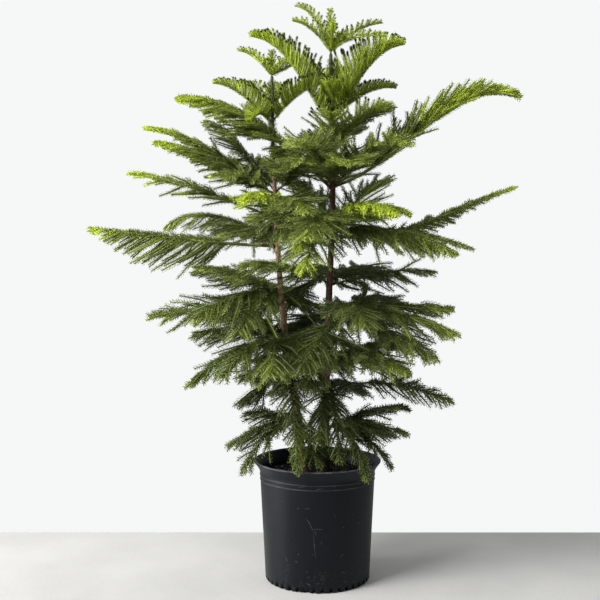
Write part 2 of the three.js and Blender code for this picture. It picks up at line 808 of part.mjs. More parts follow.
sprays.forEach((spray, i) => {
  if (spray.from) place(`${spray.name}_bough`, bough(spray), "bark");
  place(`${spray.name}_spray`, spraySolid(spray, FIRST_SEED + i), spray.whorl.tone);
});

export default plant;
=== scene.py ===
import math

import bpy
import numpy as np
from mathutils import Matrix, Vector, noise


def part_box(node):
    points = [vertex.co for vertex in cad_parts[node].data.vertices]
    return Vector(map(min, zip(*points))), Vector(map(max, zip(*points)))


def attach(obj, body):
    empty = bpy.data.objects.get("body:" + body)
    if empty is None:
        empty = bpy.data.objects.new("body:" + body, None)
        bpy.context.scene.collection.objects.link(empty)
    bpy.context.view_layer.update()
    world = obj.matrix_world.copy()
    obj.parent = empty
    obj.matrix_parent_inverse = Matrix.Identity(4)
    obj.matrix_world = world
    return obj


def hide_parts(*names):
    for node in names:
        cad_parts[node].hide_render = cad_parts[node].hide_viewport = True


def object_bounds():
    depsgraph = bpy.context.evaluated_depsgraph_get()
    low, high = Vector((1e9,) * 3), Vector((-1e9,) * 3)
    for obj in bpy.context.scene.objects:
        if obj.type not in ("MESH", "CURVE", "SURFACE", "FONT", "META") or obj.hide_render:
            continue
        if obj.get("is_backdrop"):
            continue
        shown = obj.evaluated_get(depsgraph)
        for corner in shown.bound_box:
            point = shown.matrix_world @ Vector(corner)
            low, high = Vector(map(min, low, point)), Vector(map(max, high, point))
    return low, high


# Potted Norfolk Island pine: two stems in one black nursery pot, whorls of feathered arms.
# Metres, +Z up, the viewer on the -Y side. Angles in degrees: turn 0 is right, 90 away, 180 left.

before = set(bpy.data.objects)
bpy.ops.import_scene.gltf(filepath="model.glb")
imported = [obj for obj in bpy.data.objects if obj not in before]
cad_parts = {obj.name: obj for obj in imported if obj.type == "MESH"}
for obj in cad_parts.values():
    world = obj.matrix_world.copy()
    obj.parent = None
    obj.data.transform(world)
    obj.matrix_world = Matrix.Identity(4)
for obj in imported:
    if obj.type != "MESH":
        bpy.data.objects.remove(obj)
cadLow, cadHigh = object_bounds()
rng = np.random.default_rng(41)
up = np.array([0.0, 0.0, 1.0])
print("frame loaded with", len(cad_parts), "nodes")


# small helpers

def mix(a, b, share):
    return a + (b - a) * share


def smooth(low, high, x):
    share = np.clip((x - low) / (high - low), 0, 1)
    return share * share * (3 - 2 * share)


def unit(v):
    return v / np.maximum(np.linalg.norm(v, axis=-1, keepdims=True), 1e-9)


def compass(turn):
    return np.array([math.cos(math.radians(turn)), math.sin(math.radians(turn)), 0.0])


def tilted(ahead, angle):
    return ahead * math.cos(math.radians(angle)) + up * math.sin(math.radians(angle))


def roundAngles(count):  # evenly spaced, once round
    return np.arange(count) * 2 * math.pi / count


def squareTo(forward):  # two directions at right angles to each way forward
    first = unit(np.cross(forward, up + np.array([0.01, 0.02, 0])))
    return first, np.cross(forward, first)


def meshFromArrays(name, points, faces, material, rounded=True):
    faces = np.ascontiguousarray(faces, np.int32)
    mesh = bpy.data.meshes.new(name)
    mesh.vertices.add(len(points))
    mesh.vertices.foreach_set("co", np.ascontiguousarray(points, np.float32).ravel())
    mesh.loops.add(faces.size)
    mesh.loops.foreach_set("vertex_index", faces.ravel())
    mesh.polygons.add(len(faces))
    mesh.polygons.foreach_set("loop_start", np.arange(0, faces.size, faces.shape[1], dtype=np.int32))
    mesh.polygons.foreach_set("use_smooth", np.full(len(faces), rounded))
    mesh.update(calc_edges=True)
    mesh.materials.append(material)
    thing = bpy.data.objects.new(name, mesh)
    bpy.context.scene.collection.objects.link(thing)
    return thing


def addPiece(name, points, faces, material, slot, standsFor=(), rounded=True):
    piece = meshFromArrays(name, points, faces, material, rounded)
    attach(piece, "root")
    if standsFor:
        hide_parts(*standsFor)
    return piece


def addAttribute(piece, name, values):
    attribute = piece.data.attributes.new(name, "FLOAT", "POINT")
    attribute.data.foreach_set("value", np.ascontiguousarray(values, np.float32))


def joined(parts):  # several (points, faces) as one
    points, faces, count = [], [], 0
    for p, f in parts:
        points.append(p)
        faces.append(f + count)
        count += len(p)
    return np.concatenate(points), np.concatenate(faces)


def ringFaces(rings, sides):  # triangles between rings of points that follow each other
    ring = np.arange(rings - 1)[:, None] * sides
    a = (ring + np.arange(sides)).ravel()
    b = (ring + (np.arange(sides) + 1) % sides).ravel()
    return np.concatenate([np.stack([a, b, b + sides], 1), np.stack([a, b + sides, a + sides], 1)])


def tube(centres, tangents, radii, across):  # a limb with one row of radii for each ring, closed at both ends
    rings, sides = radii.shape
    first = unit(across - tangents * (tangents @ across)[:, None])
    second = np.cross(tangents, first)
    angles = roundAngles(sides)
    around = first[:, None] * np.cos(angles)[:, None] + second[:, None] * np.sin(angles)[:, None]
    points = (centres[:, None] + around * radii[..., None]).reshape(-1, 3)
    start, end = len(points), len(points) + 1
    points = np.vstack([points, centres[0], centres[-1]])
    i = np.arange(sides)
    j = (i + 1) % sides
    top = (rings - 1) * sides
    foot = np.stack([j, i, np.full(sides, start)], 1)
    tip = np.stack([top + i, top + j, np.full(sides, end)], 1)
    return points, np.concatenate([ringFaces(rings, sides), foot, tip])


def bow(a, b, c, at):  # points and tangents on a curve with one bend
    return a * (1 - at) ** 2 + 2 * b * at * (1 - at) + c * at ** 2, unit((b - a) * (1 - at) + (c - b) * at)


def bezier(controls, at):  # points and tangents on a curve of three or four control points
    at = np.asarray(at, float)[:, None]
    if len(controls) == 3:
        return bow(*controls, at)
    a, b, c, d = controls
    points = a * (1 - at) ** 3 + 3 * b * at * (1 - at) ** 2 + 3 * c * at ** 2 * (1 - at) + d * at ** 3
    return points, unit((b - a) * (1 - at) ** 2 + 2 * (c - b) * at * (1 - at) + (d - c) * at ** 2)


def curveLength(controls):
    points, _ = bezier(controls, np.linspace(0, 1, 40))
    return np.linalg.norm(np.diff(points, axis=0), axis=1).sum()


# node helpers for the materials

def newMaterial(name):
    material = bpy.data.materials.new(name)
    material.use_nodes = True
    tree = material.node_tree
    return material, tree, tree.nodes["Principled BSDF"]


def addNode(tree, kind, inputs=None, **settings):
    node = tree.nodes.new(kind)
    for key, value in settings.items():
        setattr(node, key, value)
    for key, value in (inputs or {}).items():
        if isinstance(value, bpy.types.NodeSocket):
            tree.links.new(value, node.inputs[key])
        else:
            node.inputs[key].default_value = value
    return node


def placeOf(tree, stretch=(1, 1, 1)):  # object coordinates, squeezed along the axes
    coordinates = addNode(tree, "ShaderNodeTexCoord")
    inputs = {"Vector": coordinates.outputs["Object"], "Scale": stretch}
    return addNode(tree, "ShaderNodeMapping", inputs).outputs["Vector"]


def noiseOf(tree, place, scale, detail=4, roughness=0.55):
    inputs = {"Vector": place, "Scale": scale, "Detail": detail, "Roughness": roughness}
    return addNode(tree, "ShaderNodeTexNoise", inputs).outputs["Fac"]


def paintedOn(tree, name):  # a value that the mesh carries at its points
    return addNode(tree, "ShaderNodeAttribute", attribute_name=name).outputs["Fac"]


def nearGround(tree, place, top, bottom):  # 0 from the top height up, 1 from the bottom one down
    height = addNode(tree, "ShaderNodeSeparateXYZ", {"Vector": place}).outputs["Z"]
    inputs = {"Value": height, "From Min": top, "From Max": bottom}
    return addNode(tree, "ShaderNodeMapRange", inputs).outputs["Result"]


def rampOf(tree, value, stops):  # stops are (place, grey or colour)
    ramp = addNode(tree, "ShaderNodeValToRGB", {"Fac": value})
    elements = ramp.color_ramp.elements
    while len(elements) < len(stops):
        elements.new(0.5)
    for element, (place, colour) in zip(elements, stops):
        element.position = place
        element.color = (*colour, 1) if isinstance(colour, tuple) else (colour, colour, colour, 1)
    return ramp.outputs["Color"]


def blendOf(tree, share, a, b, mode="MIX"):
    node = addNode(tree, "ShaderNodeMix", data_type="RGBA", blend_type=mode)
    for socket, value in ((node.inputs[0], share), (node.inputs[6], a), (node.inputs[7], b)):
        if isinstance(value, bpy.types.NodeSocket):
            tree.links.new(value, socket)
        else:
            socket.default_value = (*value, 1) if isinstance(value, tuple) else value
    return node.outputs[2]


def shaded(colour, share):  # darker or lighter, by one share or one for each channel
    return tuple(np.minimum(1, np.multiply(colour, share)).tolist())


def feed(tree, shader, colour, roughness):
    tree.links.new(colour, shader.inputs["Base Color"])
    tree.links.new(roughness, shader.inputs["Roughness"])


def bumpInto(tree, shader, height, strength, distance):
    bump = addNode(tree, "ShaderNodeBump", {"Height": height, "Strength": strength, "Distance": distance})
    tree.links.new(bump.outputs["Normal"], shader.inputs["Normal"])


def mottled(name, colour, scale, roughness, depth):
    material, tree, shader = newMaterial(name)
    value = noiseOf(tree, placeOf(tree), scale, 5, 0.6)
    tones = rampOf(tree, value, [(0.3, shaded(colour, 0.5)), (0.55, colour), (0.75, shaded(colour, 1.6))])
    feed(tree, shader, tones, rampOf(tree, value, [(0.3, roughness - 0.1), (0.7, roughness)]))
    shader.inputs["Specular IOR Level"].default_value = 0.25
    bumpInto(tree, shader, value, 0.5, depth)
    return material


# camera and light

cameraLook = {"place": (-0.035, -2.03, 0.667), "lens": 60.5, "shift": -0.0917}
camera = bpy.data.objects.new("camera", bpy.data.cameras.new("camera"))
camera.data.lens = cameraLook["lens"]
camera.data.shift_y = cameraLook["shift"]
camera.location = cameraLook["place"]
camera.rotation_euler = (math.radians(90), 0, 0)  # level, so that upright lines stay upright
bpy.context.scene.collection.objects.link(camera)
bpy.context.scene.camera = camera

lightLook = {
    "lamps": {  # place, size and power
        "key_light": ((-1.9, -1.5, 2.6), 1.3, 106),
        "fill_light": ((1.9, -1.6, 1.5), 1.6, 3),
        "side_light": ((-2.3, -0.25, 0.42), 0.8, 42),
    },
    "aim": (0, 0, 0.6), "tint": (0.985, 1.0, 1.0, 1), "wall": 0.935,
    "around": 0.33, "roomTilt": (-0.14, 0.11, 0.08),  # the room is paler to the left, behind and above
}


def softLight(name, place, size, power):
    light = bpy.data.lights.new(name, "AREA")
    light.size = size
    light.energy = power
    thing = bpy.data.objects.new(name, light)
    thing.location = place
    thing.rotation_euler = (Vector(lightLook["aim"]) - Vector(place)).to_track_quat("-Z", "Y").to_euler()
    bpy.context.scene.collection.objects.link(thing)


for lampName, lamp in lightLook["lamps"].items():
    softLight(lampName, *lamp)

world = bpy.data.worlds.new("pale_studio")
world.use_nodes = True
bpy.context.scene.world = world
worldTree = world.node_tree
worldTree.nodes.clear()
pale = {"Color": lightLook["tint"]}
paleWall = addNode(worldTree, "ShaderNodeBackground", {**pale, "Strength": lightLook["wall"]})
heading = addNode(worldTree, "ShaderNodeTexCoord").outputs["Generated"]
roomSlope = addNode(worldTree, "ShaderNodeVectorMath", {0: heading, 1: lightLook["roomTilt"]},
                    operation="DOT_PRODUCT").outputs["Value"]
roomLevel = addNode(worldTree, "ShaderNodeMath", {0: roomSlope, 1: lightLook["around"]}, operation="ADD")
paleRoom = addNode(worldTree, "ShaderNodeBackground", {**pale, "Strength": roomLevel.outputs[0]})
seen = addNode(worldTree, "ShaderNodeLightPath").outputs["Is Camera Ray"]
both = addNode(worldTree, "ShaderNodeMixShader", {0: seen, 1: paleRoom.outputs[0], 2: paleWall.outputs[0]})
addNode(worldTree, "ShaderNodeOutputWorld", {"Surface": both.outputs[0]})
bpy.context.scene.view_settings.view_transform = "Standard"

floorLook = {"back": 0.31, "front": -3.0, "half": 3.0, "thick": 0.04, "pale": (0.718, 0.708, 0.686)}


def floorMaterial():
    material, tree, shader = newMaterial("pale_floor")
    place = placeOf(tree)
    cloudy = noiseOf(tree, place, 3.0, 6)
    grain = noiseOf(tree, place, 160, 3)
    clouds = rampOf(tree, cloudy, [(0.35, 0.0), (0.65, 1.0)])
    colour = blendOf(tree, clouds, shaded(floorLook["pale"], 0.86), floorLook["pale"])
    specks = rampOf(tree, grain, [(0.3, 0.84), (0.45, 1.0)])
    colour = blendOf(tree, 0.5, colour, specks, "MULTIPLY")
    feed(tree, shader, colour, rampOf(tree, cloudy, [(0.3, 0.5), (0.7, 0.68)]))
    bumpInto(tree, shader, grain, 0.2, 0.0006)
    return material


def addFloor():
    h, b, f, t = (floorLook[key] for key in ("half", "back", "front", "thick"))
    points = np.array([(x, y, z) for z in (-t, 0) for y in (f, b) for x in (-h, h)], float)
    faces = [(4, 5, 7, 6), (0, 2, 3, 1), (0, 1, 5, 4), (2, 6, 7, 3), (0, 4, 6, 2), (1, 3, 7, 5)]
    meshFromArrays("floor", points, np.array(faces), floorMaterial(), rounded=False)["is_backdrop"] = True


addFloor()
print("camera, light and floor are set")


# pot

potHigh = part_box("pot")[1]
potLook = {
    "height": potHigh.z, "lipRadius": potHigh.x, "footRadius": 0.104, "shoulderRadius": 0.115,
    "lipHeight": 0.025, "flare": 1.7, "wall": 0.003, "floor": 0.004, "bevel": 0.004, "rim": 0.0024,
    "wallFrom": 0.016, "wallRows": 26, "wobble": 0.0005,
    "lines": (0.0035, 0.0125), "lineWidth": 0.0016, "lineProud": 0.0009,  # moulded rings under the lip
    "notches": 40, "notchShare": 0.42, "notchHeight": 0.0095, "notchDepth": 0.0060,
    "notchFlank": 0.012, "notchEdge": 0.0002,
    "chipTurn": 257, "chipWidth": 5.0, "chipDepth": 0.006,  # the foot is broken here
    "crestHighlight": (0.0034, 0.0006), "lineHighlight": (0.0012, 0.0003),  # how wide the painted highlights along the rim's crest and the moulded rings are
    "black": (0.0037, 0.0043, 0.0056), "dusty": (0.0105, 0.0115, 0.0135), "dirt": (0.085, 0.062, 0.045),
    # the near black at the end of this line is painted shade in the notches round the foot
    # the pale grey that follows is a painted highlight along the rim's crest and the moulded rings
    "edge_highlight": (0.115, 0.120, 0.130), "recess_shade": (0.0008, 0.0008, 0.0009),
}
potShoulder = potLook["height"] - potLook["lipHeight"]
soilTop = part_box("soil")[1].z


def potOuter(z):
    return mix(potLook["footRadius"], potLook["shoulderRadius"], z / potShoulder)


def potWobble(turn, z):  # the soft wall is not quite round
    return potLook["wobble"] * np.sin(2 * turn + 0.6) * smooth(0.1, 1, z / potLook["height"])


def potProfile():  # (radius, height) from the middle of the underside, up the outside and down the inside
    foot, shoulder, bevel, rim, wall, base = (
        potLook[key] for key in ("footRadius", "shoulderRadius", "bevel", "rim", "wall", "floor"))
    notchTop, edge = potLook["notchHeight"], potLook["notchEdge"]
    profile = [(0, 0), (foot * 0.5, 0), (foot - 2 * bevel, 0)]
    for angle in (0, 30, 60, 90):
        a = math.radians(angle)
        profile.append((potOuter(bevel) - bevel * (1 - math.sin(a)), bevel * (1 - math.cos(a))))
    profile += [(potOuter(notchTop), notchTop + k * edge) for k in (-1, 1)]
    top = potShoulder - max(potLook["lines"]) - 3 * potLook["lineWidth"]
    profile += [(potOuter(z), z) for z in np.linspace(potLook["wallFrom"], top, potLook["wallRows"])]
    for drop in sorted(potLook["lines"], reverse=True):
        for k in (-1.6, -0.8, -0.3, 0.3, 0.8, 1.6):
            z = potShoulder - drop + k * potLook["lineWidth"]
            profile.append((potOuter(z) + potLook["lineProud"] * (abs(k) < 0.5), z))
    rimCentre, rimHeight = potLook["lipRadius"] - rim, potLook["height"] - rim
    shares = np.linspace(0.08, 0.92, 8)
    for s in shares:  # up the flared lip
        radius = mix(shoulder, rimCentre + rim * 0.6, s ** potLook["flare"])
        profile.append((radius, mix(potShoulder, rimHeight - rim, s)))
    for a in np.radians(np.arange(-60, 181, 30)):  # over the rolled rim
        profile.append((rimCentre + rim * math.cos(a), rimHeight + rim * math.sin(a)))
    for s in shares[::-1]:  # and down inside
        radius = mix(shoulder, rimCentre, s ** potLook["flare"]) - wall * mix(1, 0.7, s)
        profile.append((radius, mix(potShoulder, rimHeight, s)))
    profile += [(potOuter(z) - wall, z) for z in np.linspace(potShoulder, base, 10)]
    return np.array(profile + [(0.05, base), (0, base)])


def potMaterial():
    material, tree, shader = newMaterial("scuffed_black_plastic")
    place = placeOf(tree)
    dust = noiseOf(tree, place, 9, 7, 0.62)
    streaks = noiseOf(tree, placeOf(tree, (34, 34, 5)), 1.0, 5)
    fine = noiseOf(tree, place, 320, 2)
    dusty = blendOf(tree, 0.5, rampOf(tree, dust, [(0.44, 0.0), (0.78, 0.75)]),
                    rampOf(tree, streaks, [(0.5, 0.0), (0.82, 0.6)]))
    colour = blendOf(tree, dusty, potLook["black"], potLook["dusty"])
    grime = rampOf(tree, noiseOf(tree, place, 110, 5, 0.65), [(0.56, 0.0), (0.72, 0.8)])
    grime = blendOf(tree, 1.0, grime, nearGround(tree, place, 0.05, 0.0), "MULTIPLY")
    colour = blendOf(tree, grime, colour, potLook["dirt"])
    # painted highlight: lighter grey along the rim's crest and the moulded rings, broken up by noise
    edgeHighlight = rampOf(tree, noiseOf(tree, place, 60, 4), [(0.30, 0.25), (0.65, 1.0)])
    edgeHighlight = blendOf(tree, 1.0, edgeHighlight, paintedOn(tree, "edge_highlight"), "MULTIPLY")
    colour = blendOf(tree, edgeHighlight, colour, potLook["edge_highlight"])
    # painted shade: the notches round the foot go near black and lose their reflection
    recess_shade = paintedOn(tree, "recess_shade")
    colour = blendOf(tree, recess_shade, colour, potLook["recess_shade"])
    feed(tree, shader, colour, blendOf(tree, dusty, (0.40, 0.40, 0.40), (0.62, 0.62, 0.62)))
    tree.links.new(rampOf(tree, recess_shade, [(0.0, 0.21), (1.0, 0.0)]), shader.inputs["Specular IOR Level"])
    shader.inputs["Specular Tint"].default_value = (0.80, 0.89, 1.0, 1)
    bumpInto(tree, shader, fine, 0.2, 0.0003)
    return material


def addPot():
    profile = potProfile()
    low, high = 0.5 - potLook["notchShare"] / 2, 0.5 + potLook["notchShare"] / 2
    flank = potLook["notchFlank"]
    steps = np.array([0, low - flank, low + flank, 0.5, high - flank, high + flank])
    angles = ((np.arange(potLook["notches"])[:, None] + steps) * 2 * math.pi / potLook["notches"]).ravel()
    inNotch = np.tile([0, 0, 1, 1, 1, 0], potLook["notches"])
    radius = np.repeat(profile[:, :1], len(angles), 1)
    height = np.repeat(profile[:, 1:], len(angles), 1)
    outside = np.arange(len(profile)) < np.argmax(profile[:, 0])
    foot = outside[:, None] & (height < potLook["notchHeight"]) & (radius > potLook["footRadius"] * 0.9)
    radius -= potLook["notchDepth"] * inNotch * foot
    turn = np.degrees(angles)
    near = np.exp(-((turn - potLook["chipTurn"]) / potLook["chipWidth"]) ** 2)
    ragged = 0.75 + 0.25 * np.sin(turn * 1.9)
    radius -= potLook["chipDepth"] * near * ragged * foot
    radius += potWobble(angles, height)
    points = np.stack([radius * np.cos(angles), radius * np.sin(angles), height], -1).reshape(-1, 3)
    faces = ringFaces(len(profile), len(angles))
    piece = addPiece("nursery_pot", points, faces, potMaterial(), "pot", ["pot"])
    # painted highlight along the rim's crest, and at half strength along the moulded rings on the outside
    crest = smooth(*potLook["crestHighlight"], potLook["height"] - height)
    lines = [smooth(*potLook["lineHighlight"], np.abs(height - potShoulder + drop)) for drop in potLook["lines"]]
    edgeHighlight = np.maximum(crest, 0.5 * outside[:, None] * np.maximum(*lines))
    addAttribute(piece, "edge_highlight", edgeHighlight.ravel())
    # painted shade in the notches round the foot
    addAttribute(piece, "recess_shade", (inNotch * foot).astype(float).ravel())


addPot()
scuffLook = {
    "marks": [  # ends as (across, height), how far the middle bows up, and the width
        ((-0.039, 0.204), (-0.012, 0.207), 0.002, 0.0007), ((-0.010, 0.199), (0.012, 0.203), 0.002, 0.0007),
        ((-0.024, 0.147), (-0.010, 0.122), 0.002, 0.0007), ((-0.010, 0.122), (-0.005, 0.066), -0.001, 0.0005),
        ((-0.014, 0.124), (0.008, 0.125), 0.001, 0.0006), ((0.030, 0.210), (0.031, 0.205), 0.0, 0.0012),
    ],
    "few": 90, "fewLength": (0.002, 0.012), "fewWidth": (0.0003, 0.0007), "fewBend": 0.0006,
    "fewFrom": 0.018, "fewOver": 0.17, "lowest": 0.010, "proud": 0.00012,
    "grey": (0.105, 0.110, 0.118),
}


def scuff(turns, heights, width):  # a thin ribbon that lies on the pot's side
    turns, heights = np.asarray(turns), np.asarray(heights)
    way = unit(np.stack([np.gradient(turns) * potLook["footRadius"], np.gradient(heights)], 1))
    half = width / 2 * np.sin(np.linspace(0.15, math.pi - 0.15, len(turns)))
    rows = []
    for side in (-1, 1):
        turn = turns - side * half * way[:, 1] / potLook["footRadius"]
        z = heights + side * half * way[:, 0]
        radius = potOuter(z) + potWobble(turn, z) + scuffLook["proud"]
        rows.append(np.stack([radius * np.cos(turn), radius * np.sin(turn), z], 1))
    points = np.concatenate(rows)
    i = np.arange(len(turns) - 1)
    j = i + len(turns)
    return points, np.concatenate([np.stack([i, i + 1, j + 1], 1), np.stack([i, j + 1, j], 1)])


def addScuffs():
    parts = []
    steps = np.linspace(0, 1, 9)
    for (x0, z0), (x1, z1), bulge, width in scuffLook["marks"]:
        z = mix(z0, z1, steps) + bulge * np.sin(math.pi * steps)
        parts.append(scuff(1.5 * math.pi + np.arcsin(mix(x0, x1, steps) / potOuter(z)), z, width))
    for _ in range(scuffLook["few"]):
        turn, aim = rng.uniform(0, 2 * math.pi), rng.uniform(0, math.pi)
        z = scuffLook["fewFrom"] + scuffLook["fewOver"] * rng.random() ** 1.8  # most of them are low down
        length = rng.uniform(*scuffLook["fewLength"]) * (steps - 0.5)
        bend = rng.normal(0, scuffLook["fewBend"]) * np.sin(math.pi * steps)
        turns = turn + (length * math.cos(aim) + bend) / potLook["footRadius"]
        heights = np.maximum(z + length * math.sin(aim), scuffLook["lowest"])
        parts.append(scuff(turns, heights, rng.uniform(*scuffLook["fewWidth"])))
    addPiece("pot_scuffs", *joined(parts), mottled("pale_scuff", scuffLook["grey"], 220, 0.7, 0.0001), "pot")


addScuffs()
print("pot is made")


# soil with bark chips and perlite

soilLook = {
    "rings": 36, "sides": 110, "relief": 0.0045, "gap": 0.0006, "margin": 0.007,
    "chips": 420, "chipSize": (0.002, 0.0065), "perlite": 210, "perliteSize": (0.0007, 0.0018),
    "peat": (0.020, 0.014, 0.010), "chip": (0.050, 0.031, 0.020), "pale": (0.66, 0.65, 0.62),
}


def soilHeight(x, y):
    lumps = noise.noise(Vector((x, y, 0.3)) * 55) + 0.6 * noise.noise(Vector((x, y, 1.7)) * 140)
    return soilTop - 0.001 + soilLook["relief"] * 0.6 * lumps


def crumbs(count, sizes, flat, sink):  # irregular eight-sided bits that lie on the soil
    corners = np.array([(1, 0, 0), (-1, 0, 0), (0, 1, 0), (0, -1, 0), (0, 0, 1), (0, 0, -1)], float)
    faces = np.array([(0, 2, 4), (2, 1, 4), (1, 3, 4), (3, 0, 4), (2, 0, 5), (1, 2, 5), (3, 1, 5), (0, 3, 5)])
    parts = []
    for _ in range(count):
        far = (potOuter(soilTop) - soilLook["margin"]) * math.sqrt(rng.random())
        turn = rng.random() * 2 * math.pi
        x, y = far * math.cos(turn), far * math.sin(turn)
        size = rng.uniform(*sizes)
        bit = corners * rng.uniform(0.6, 1.2, (6, 1)) * np.array([1, rng.uniform(0.5, 1), flat]) * size
        spin = rng.random() * 2 * math.pi
        c, s = math.cos(spin), math.sin(spin)
        bit = bit @ np.array([(c, s, 0), (-s, c, 0), (0, 0, 1)])
        parts.append((bit + (x, y, soilHeight(x, y) + size * flat * sink), faces))
    return joined(parts)


def addSoil():
    radius = np.linspace(0, potOuter(soilTop) - potLook["wall"] - soilLook["gap"], soilLook["rings"])
    angles = roundAngles(soilLook["sides"])
    top = [(r * math.cos(a), r * math.sin(a)) for r in radius[::-1] for a in angles]
    points = [(x, y, soilHeight(x, y)) for x, y in top]
    bottom = potLook["floor"] + 0.0004
    low = potOuter(bottom) - potLook["wall"] - soilLook["gap"]
    under = [(r * math.cos(a), r * math.sin(a), bottom) for r in (0, low * 0.5, low) for a in angles]
    points = np.array(under + points)
    faces = ringFaces(soilLook["rings"] + 3, soilLook["sides"])
    peat = mottled("dark_peat", soilLook["peat"], 240, 0.95, 0.002)
    addPiece("potting_soil", points, faces, peat, "soil", ["soil"])
    chips = crumbs(soilLook["chips"], soilLook["chipSize"], 0.42, 0.3)
    bark = mottled("bark_chip", soilLook["chip"], 300, 0.9, 0.0008)
    addPiece("bark_chips", *chips, bark, "soil", rounded=False)
    grains = crumbs(soilLook["perlite"], soilLook["perliteSize"], 0.9, 0.6)
    addPiece("perlite_grains", *grains, mottled("perlite", soilLook["pale"], 900, 0.85, 0.0003), "soil")


addSoil()
print("soil is made")


# stems

# The two stems carry lit and shaded copies of one bark: the left stem's lighter bark and scars are painted
# light from the lamps on the left, the right stem's darker bark, scars and young top are painted shade inside
# the canopy.
stemLook = {
    "right": {
        "path": [(0.015, 0.008, 0.207), (0.017, 0.006, 0.374), (0.023, 0.002, 0.555),
                 (0.031, -0.002, 0.757), (0.028, -0.004, 0.925), (0.027, -0.004, 1.050)],
        "footRadius": 0.0092, "tipRadius": 0.0034,
        "bark": (0.125, 0.066, 0.043), "scar": (0.28, 0.19, 0.13), "young": (0.085, 0.110, 0.030),
    },
    "left": {
        "path": [(-0.027, 0.006, 0.207), (-0.043, 0.008, 0.344), (-0.063, 0.010, 0.474),
                 (-0.077, 0.012, 0.615), (-0.088, 0.012, 0.826), (-0.092, 0.012, 1.008)],
        "footRadius": 0.0082, "tipRadius": 0.0030,
        "bark": (0.420, 0.235, 0.140), "scar": (0.60, 0.45, 0.33), "young": (0.110, 0.140, 0.040),
    },
}
stemFlare = {"height": 0.016, "extra": 0.004}
barkLook = {
    "sides": 30, "step": 0.0017, "sunk": 0.006, "collar": 0.03, "collarRows": 30, "above": 0.032,
    # the last pair gives the heights over which painted shade darkens the bark towards the soil
    "scarRows": 5, "scarPitch": 0.021, "ridge": 0.00055, "grain": 0.00040, "baseShade": (0.36, 0.22),
}


def smoothLine(path):  # a centripetal curve through the points, as many small steps
    path = np.array(path, float)
    ends = np.vstack([2 * path[0] - path[1], path, 2 * path[-1] - path[-2]])
    steps = np.linspace(0, 1, 60)[:, None]
    line = []
    for p0, p1, p2, p3 in zip(ends, ends[1:], ends[2:], ends[3:]):
        d0, d1, d2 = (math.sqrt(np.linalg.norm(b - a)) for a, b in ((p0, p1), (p1, p2), (p2, p3)))
        leave = ((p1 - p0) / d0 - (p2 - p0) / (d0 + d1) + (p2 - p1) / d1) * d1
        arrive = ((p2 - p1) / d1 - (p3 - p1) / (d1 + d2) + (p3 - p2) / d2) * d1
        line.append(p1 + leave * steps + (3 * (p2 - p1) - 2 * leave - arrive) * steps ** 2
                    + (2 * (p1 - p2) + leave + arrive) * steps ** 3)
    return np.concatenate(line)


stemLines = {stem: smoothLine(look["path"]) for stem, look in stemLook.items()}


def stemPoint(stem, z):
    line = stemLines[stem]
    return np.stack([np.interp(z, line[:, 2], line[:, 0]), np.interp(z, line[:, 2], line[:, 1]), z], -1)


def stemRadius(stem, z):
    look = stemLook[stem]
    share = (z - soilTop) / (look["path"][-1][2] - soilTop)
    flare = stemFlare["extra"] * np.exp((soilTop - z) / stemFlare["height"])
    return mix(look["footRadius"], look["tipRadius"], share) + flare


def barkMaterial(name, look):
    material, tree, shader = newMaterial(name)
    grain = noiseOf(tree, placeOf(tree, (1, 1, 0.22)), 420, 5, 0.6)
    patches = noiseOf(tree, placeOf(tree), 60, 4)
    bark, dark = look["bark"], shaded(look["bark"], 0.45)
    colour = rampOf(tree, grain, [(0.3, dark), (0.52, bark), (0.75, shaded(bark, 1.35))])
    colour = blendOf(tree, rampOf(tree, patches, [(0.4, 0.0), (0.7, 0.45)]), colour, dark)
    colour = blendOf(tree, paintedOn(tree, "scar"), colour, look["scar"])
    colour = blendOf(tree, paintedOn(tree, "young"), colour, look["young"])
    baseShade = nearGround(tree, placeOf(tree), *barkLook["baseShade"])  # painted shade: the bark darkens towards the soil, under the lower fronds
    colour = blendOf(tree, baseShade, colour, shaded(bark, 0.25))
    feed(tree, shader, colour, rampOf(tree, grain, [(0.3, 0.9), (0.7, 0.68)]))
    shader.inputs["Specular IOR Level"].default_value = 0.3
    bumpInto(tree, shader, grain, 0.4, 0.0008)
    return material


def addStem(stem):
    look = stemLook[stem]
    top = look["path"][-1][2]
    collar = np.linspace(soilTop - barkLook["sunk"], soilTop + barkLook["collar"], barkLook["collarRows"])
    above = np.arange(soilTop + barkLook["above"], top, barkLook["step"])
    z = np.concatenate([collar, above, [top]])
    centres = stemPoint(stem, z)
    radius = stemRadius(stem, np.maximum(z, soilTop))
    turn = roundAngles(barkLook["sides"])
    rows, pitch = barkLook["scarRows"], barkLook["scarPitch"]
    across = rows * turn + 2 * math.pi * z[:, None] / pitch
    counter = (rows + 3) * turn - 2 * math.pi * z[:, None] / (pitch * 0.62)
    cushion = np.clip(np.cos(across), 0, 1) * np.clip(np.cos(counter), 0, 1)  # leaf bases in crossing spirals
    rough = np.array([[noise.noise(Vector((math.cos(a) * 3, math.sin(a) * 3, h * 220))) for a in turn]
                      for h in z])
    radii = radius[:, None] + barkLook["ridge"] * (cushion - 0.3) + barkLook["grain"] * rough
    points, faces = tube(centres, unit(np.gradient(centres, axis=0)), radii, np.array([1.0, 0, 0]))
    bark = barkMaterial(stem + "_bark", look)
    piece = addPiece(stem + "_stem_bark", points, faces, bark, "bark", [stem + "_stem"])
    scars = smooth(0.35, 0.75, cushion * (0.55 + 0.45 * smooth(-0.25, 0.35, rough)))
    addAttribute(piece, "scar", np.append(scars.ravel(), [0, 0]))
    young = smooth(0.80, 1.0, z[:, None] - 0.05 * rough) * np.ones_like(turn)
    addAttribute(piece, "young", np.append(young.ravel(), [0, 1]))


for stemName in stemLook:
    addStem(stemName)
print("stems are made")


# arms, from the top whorl down: turn, reach, rise, lift and nod of each
# some go on with the hang and roll of their vane, the length of their shoots and the skew of the ranks

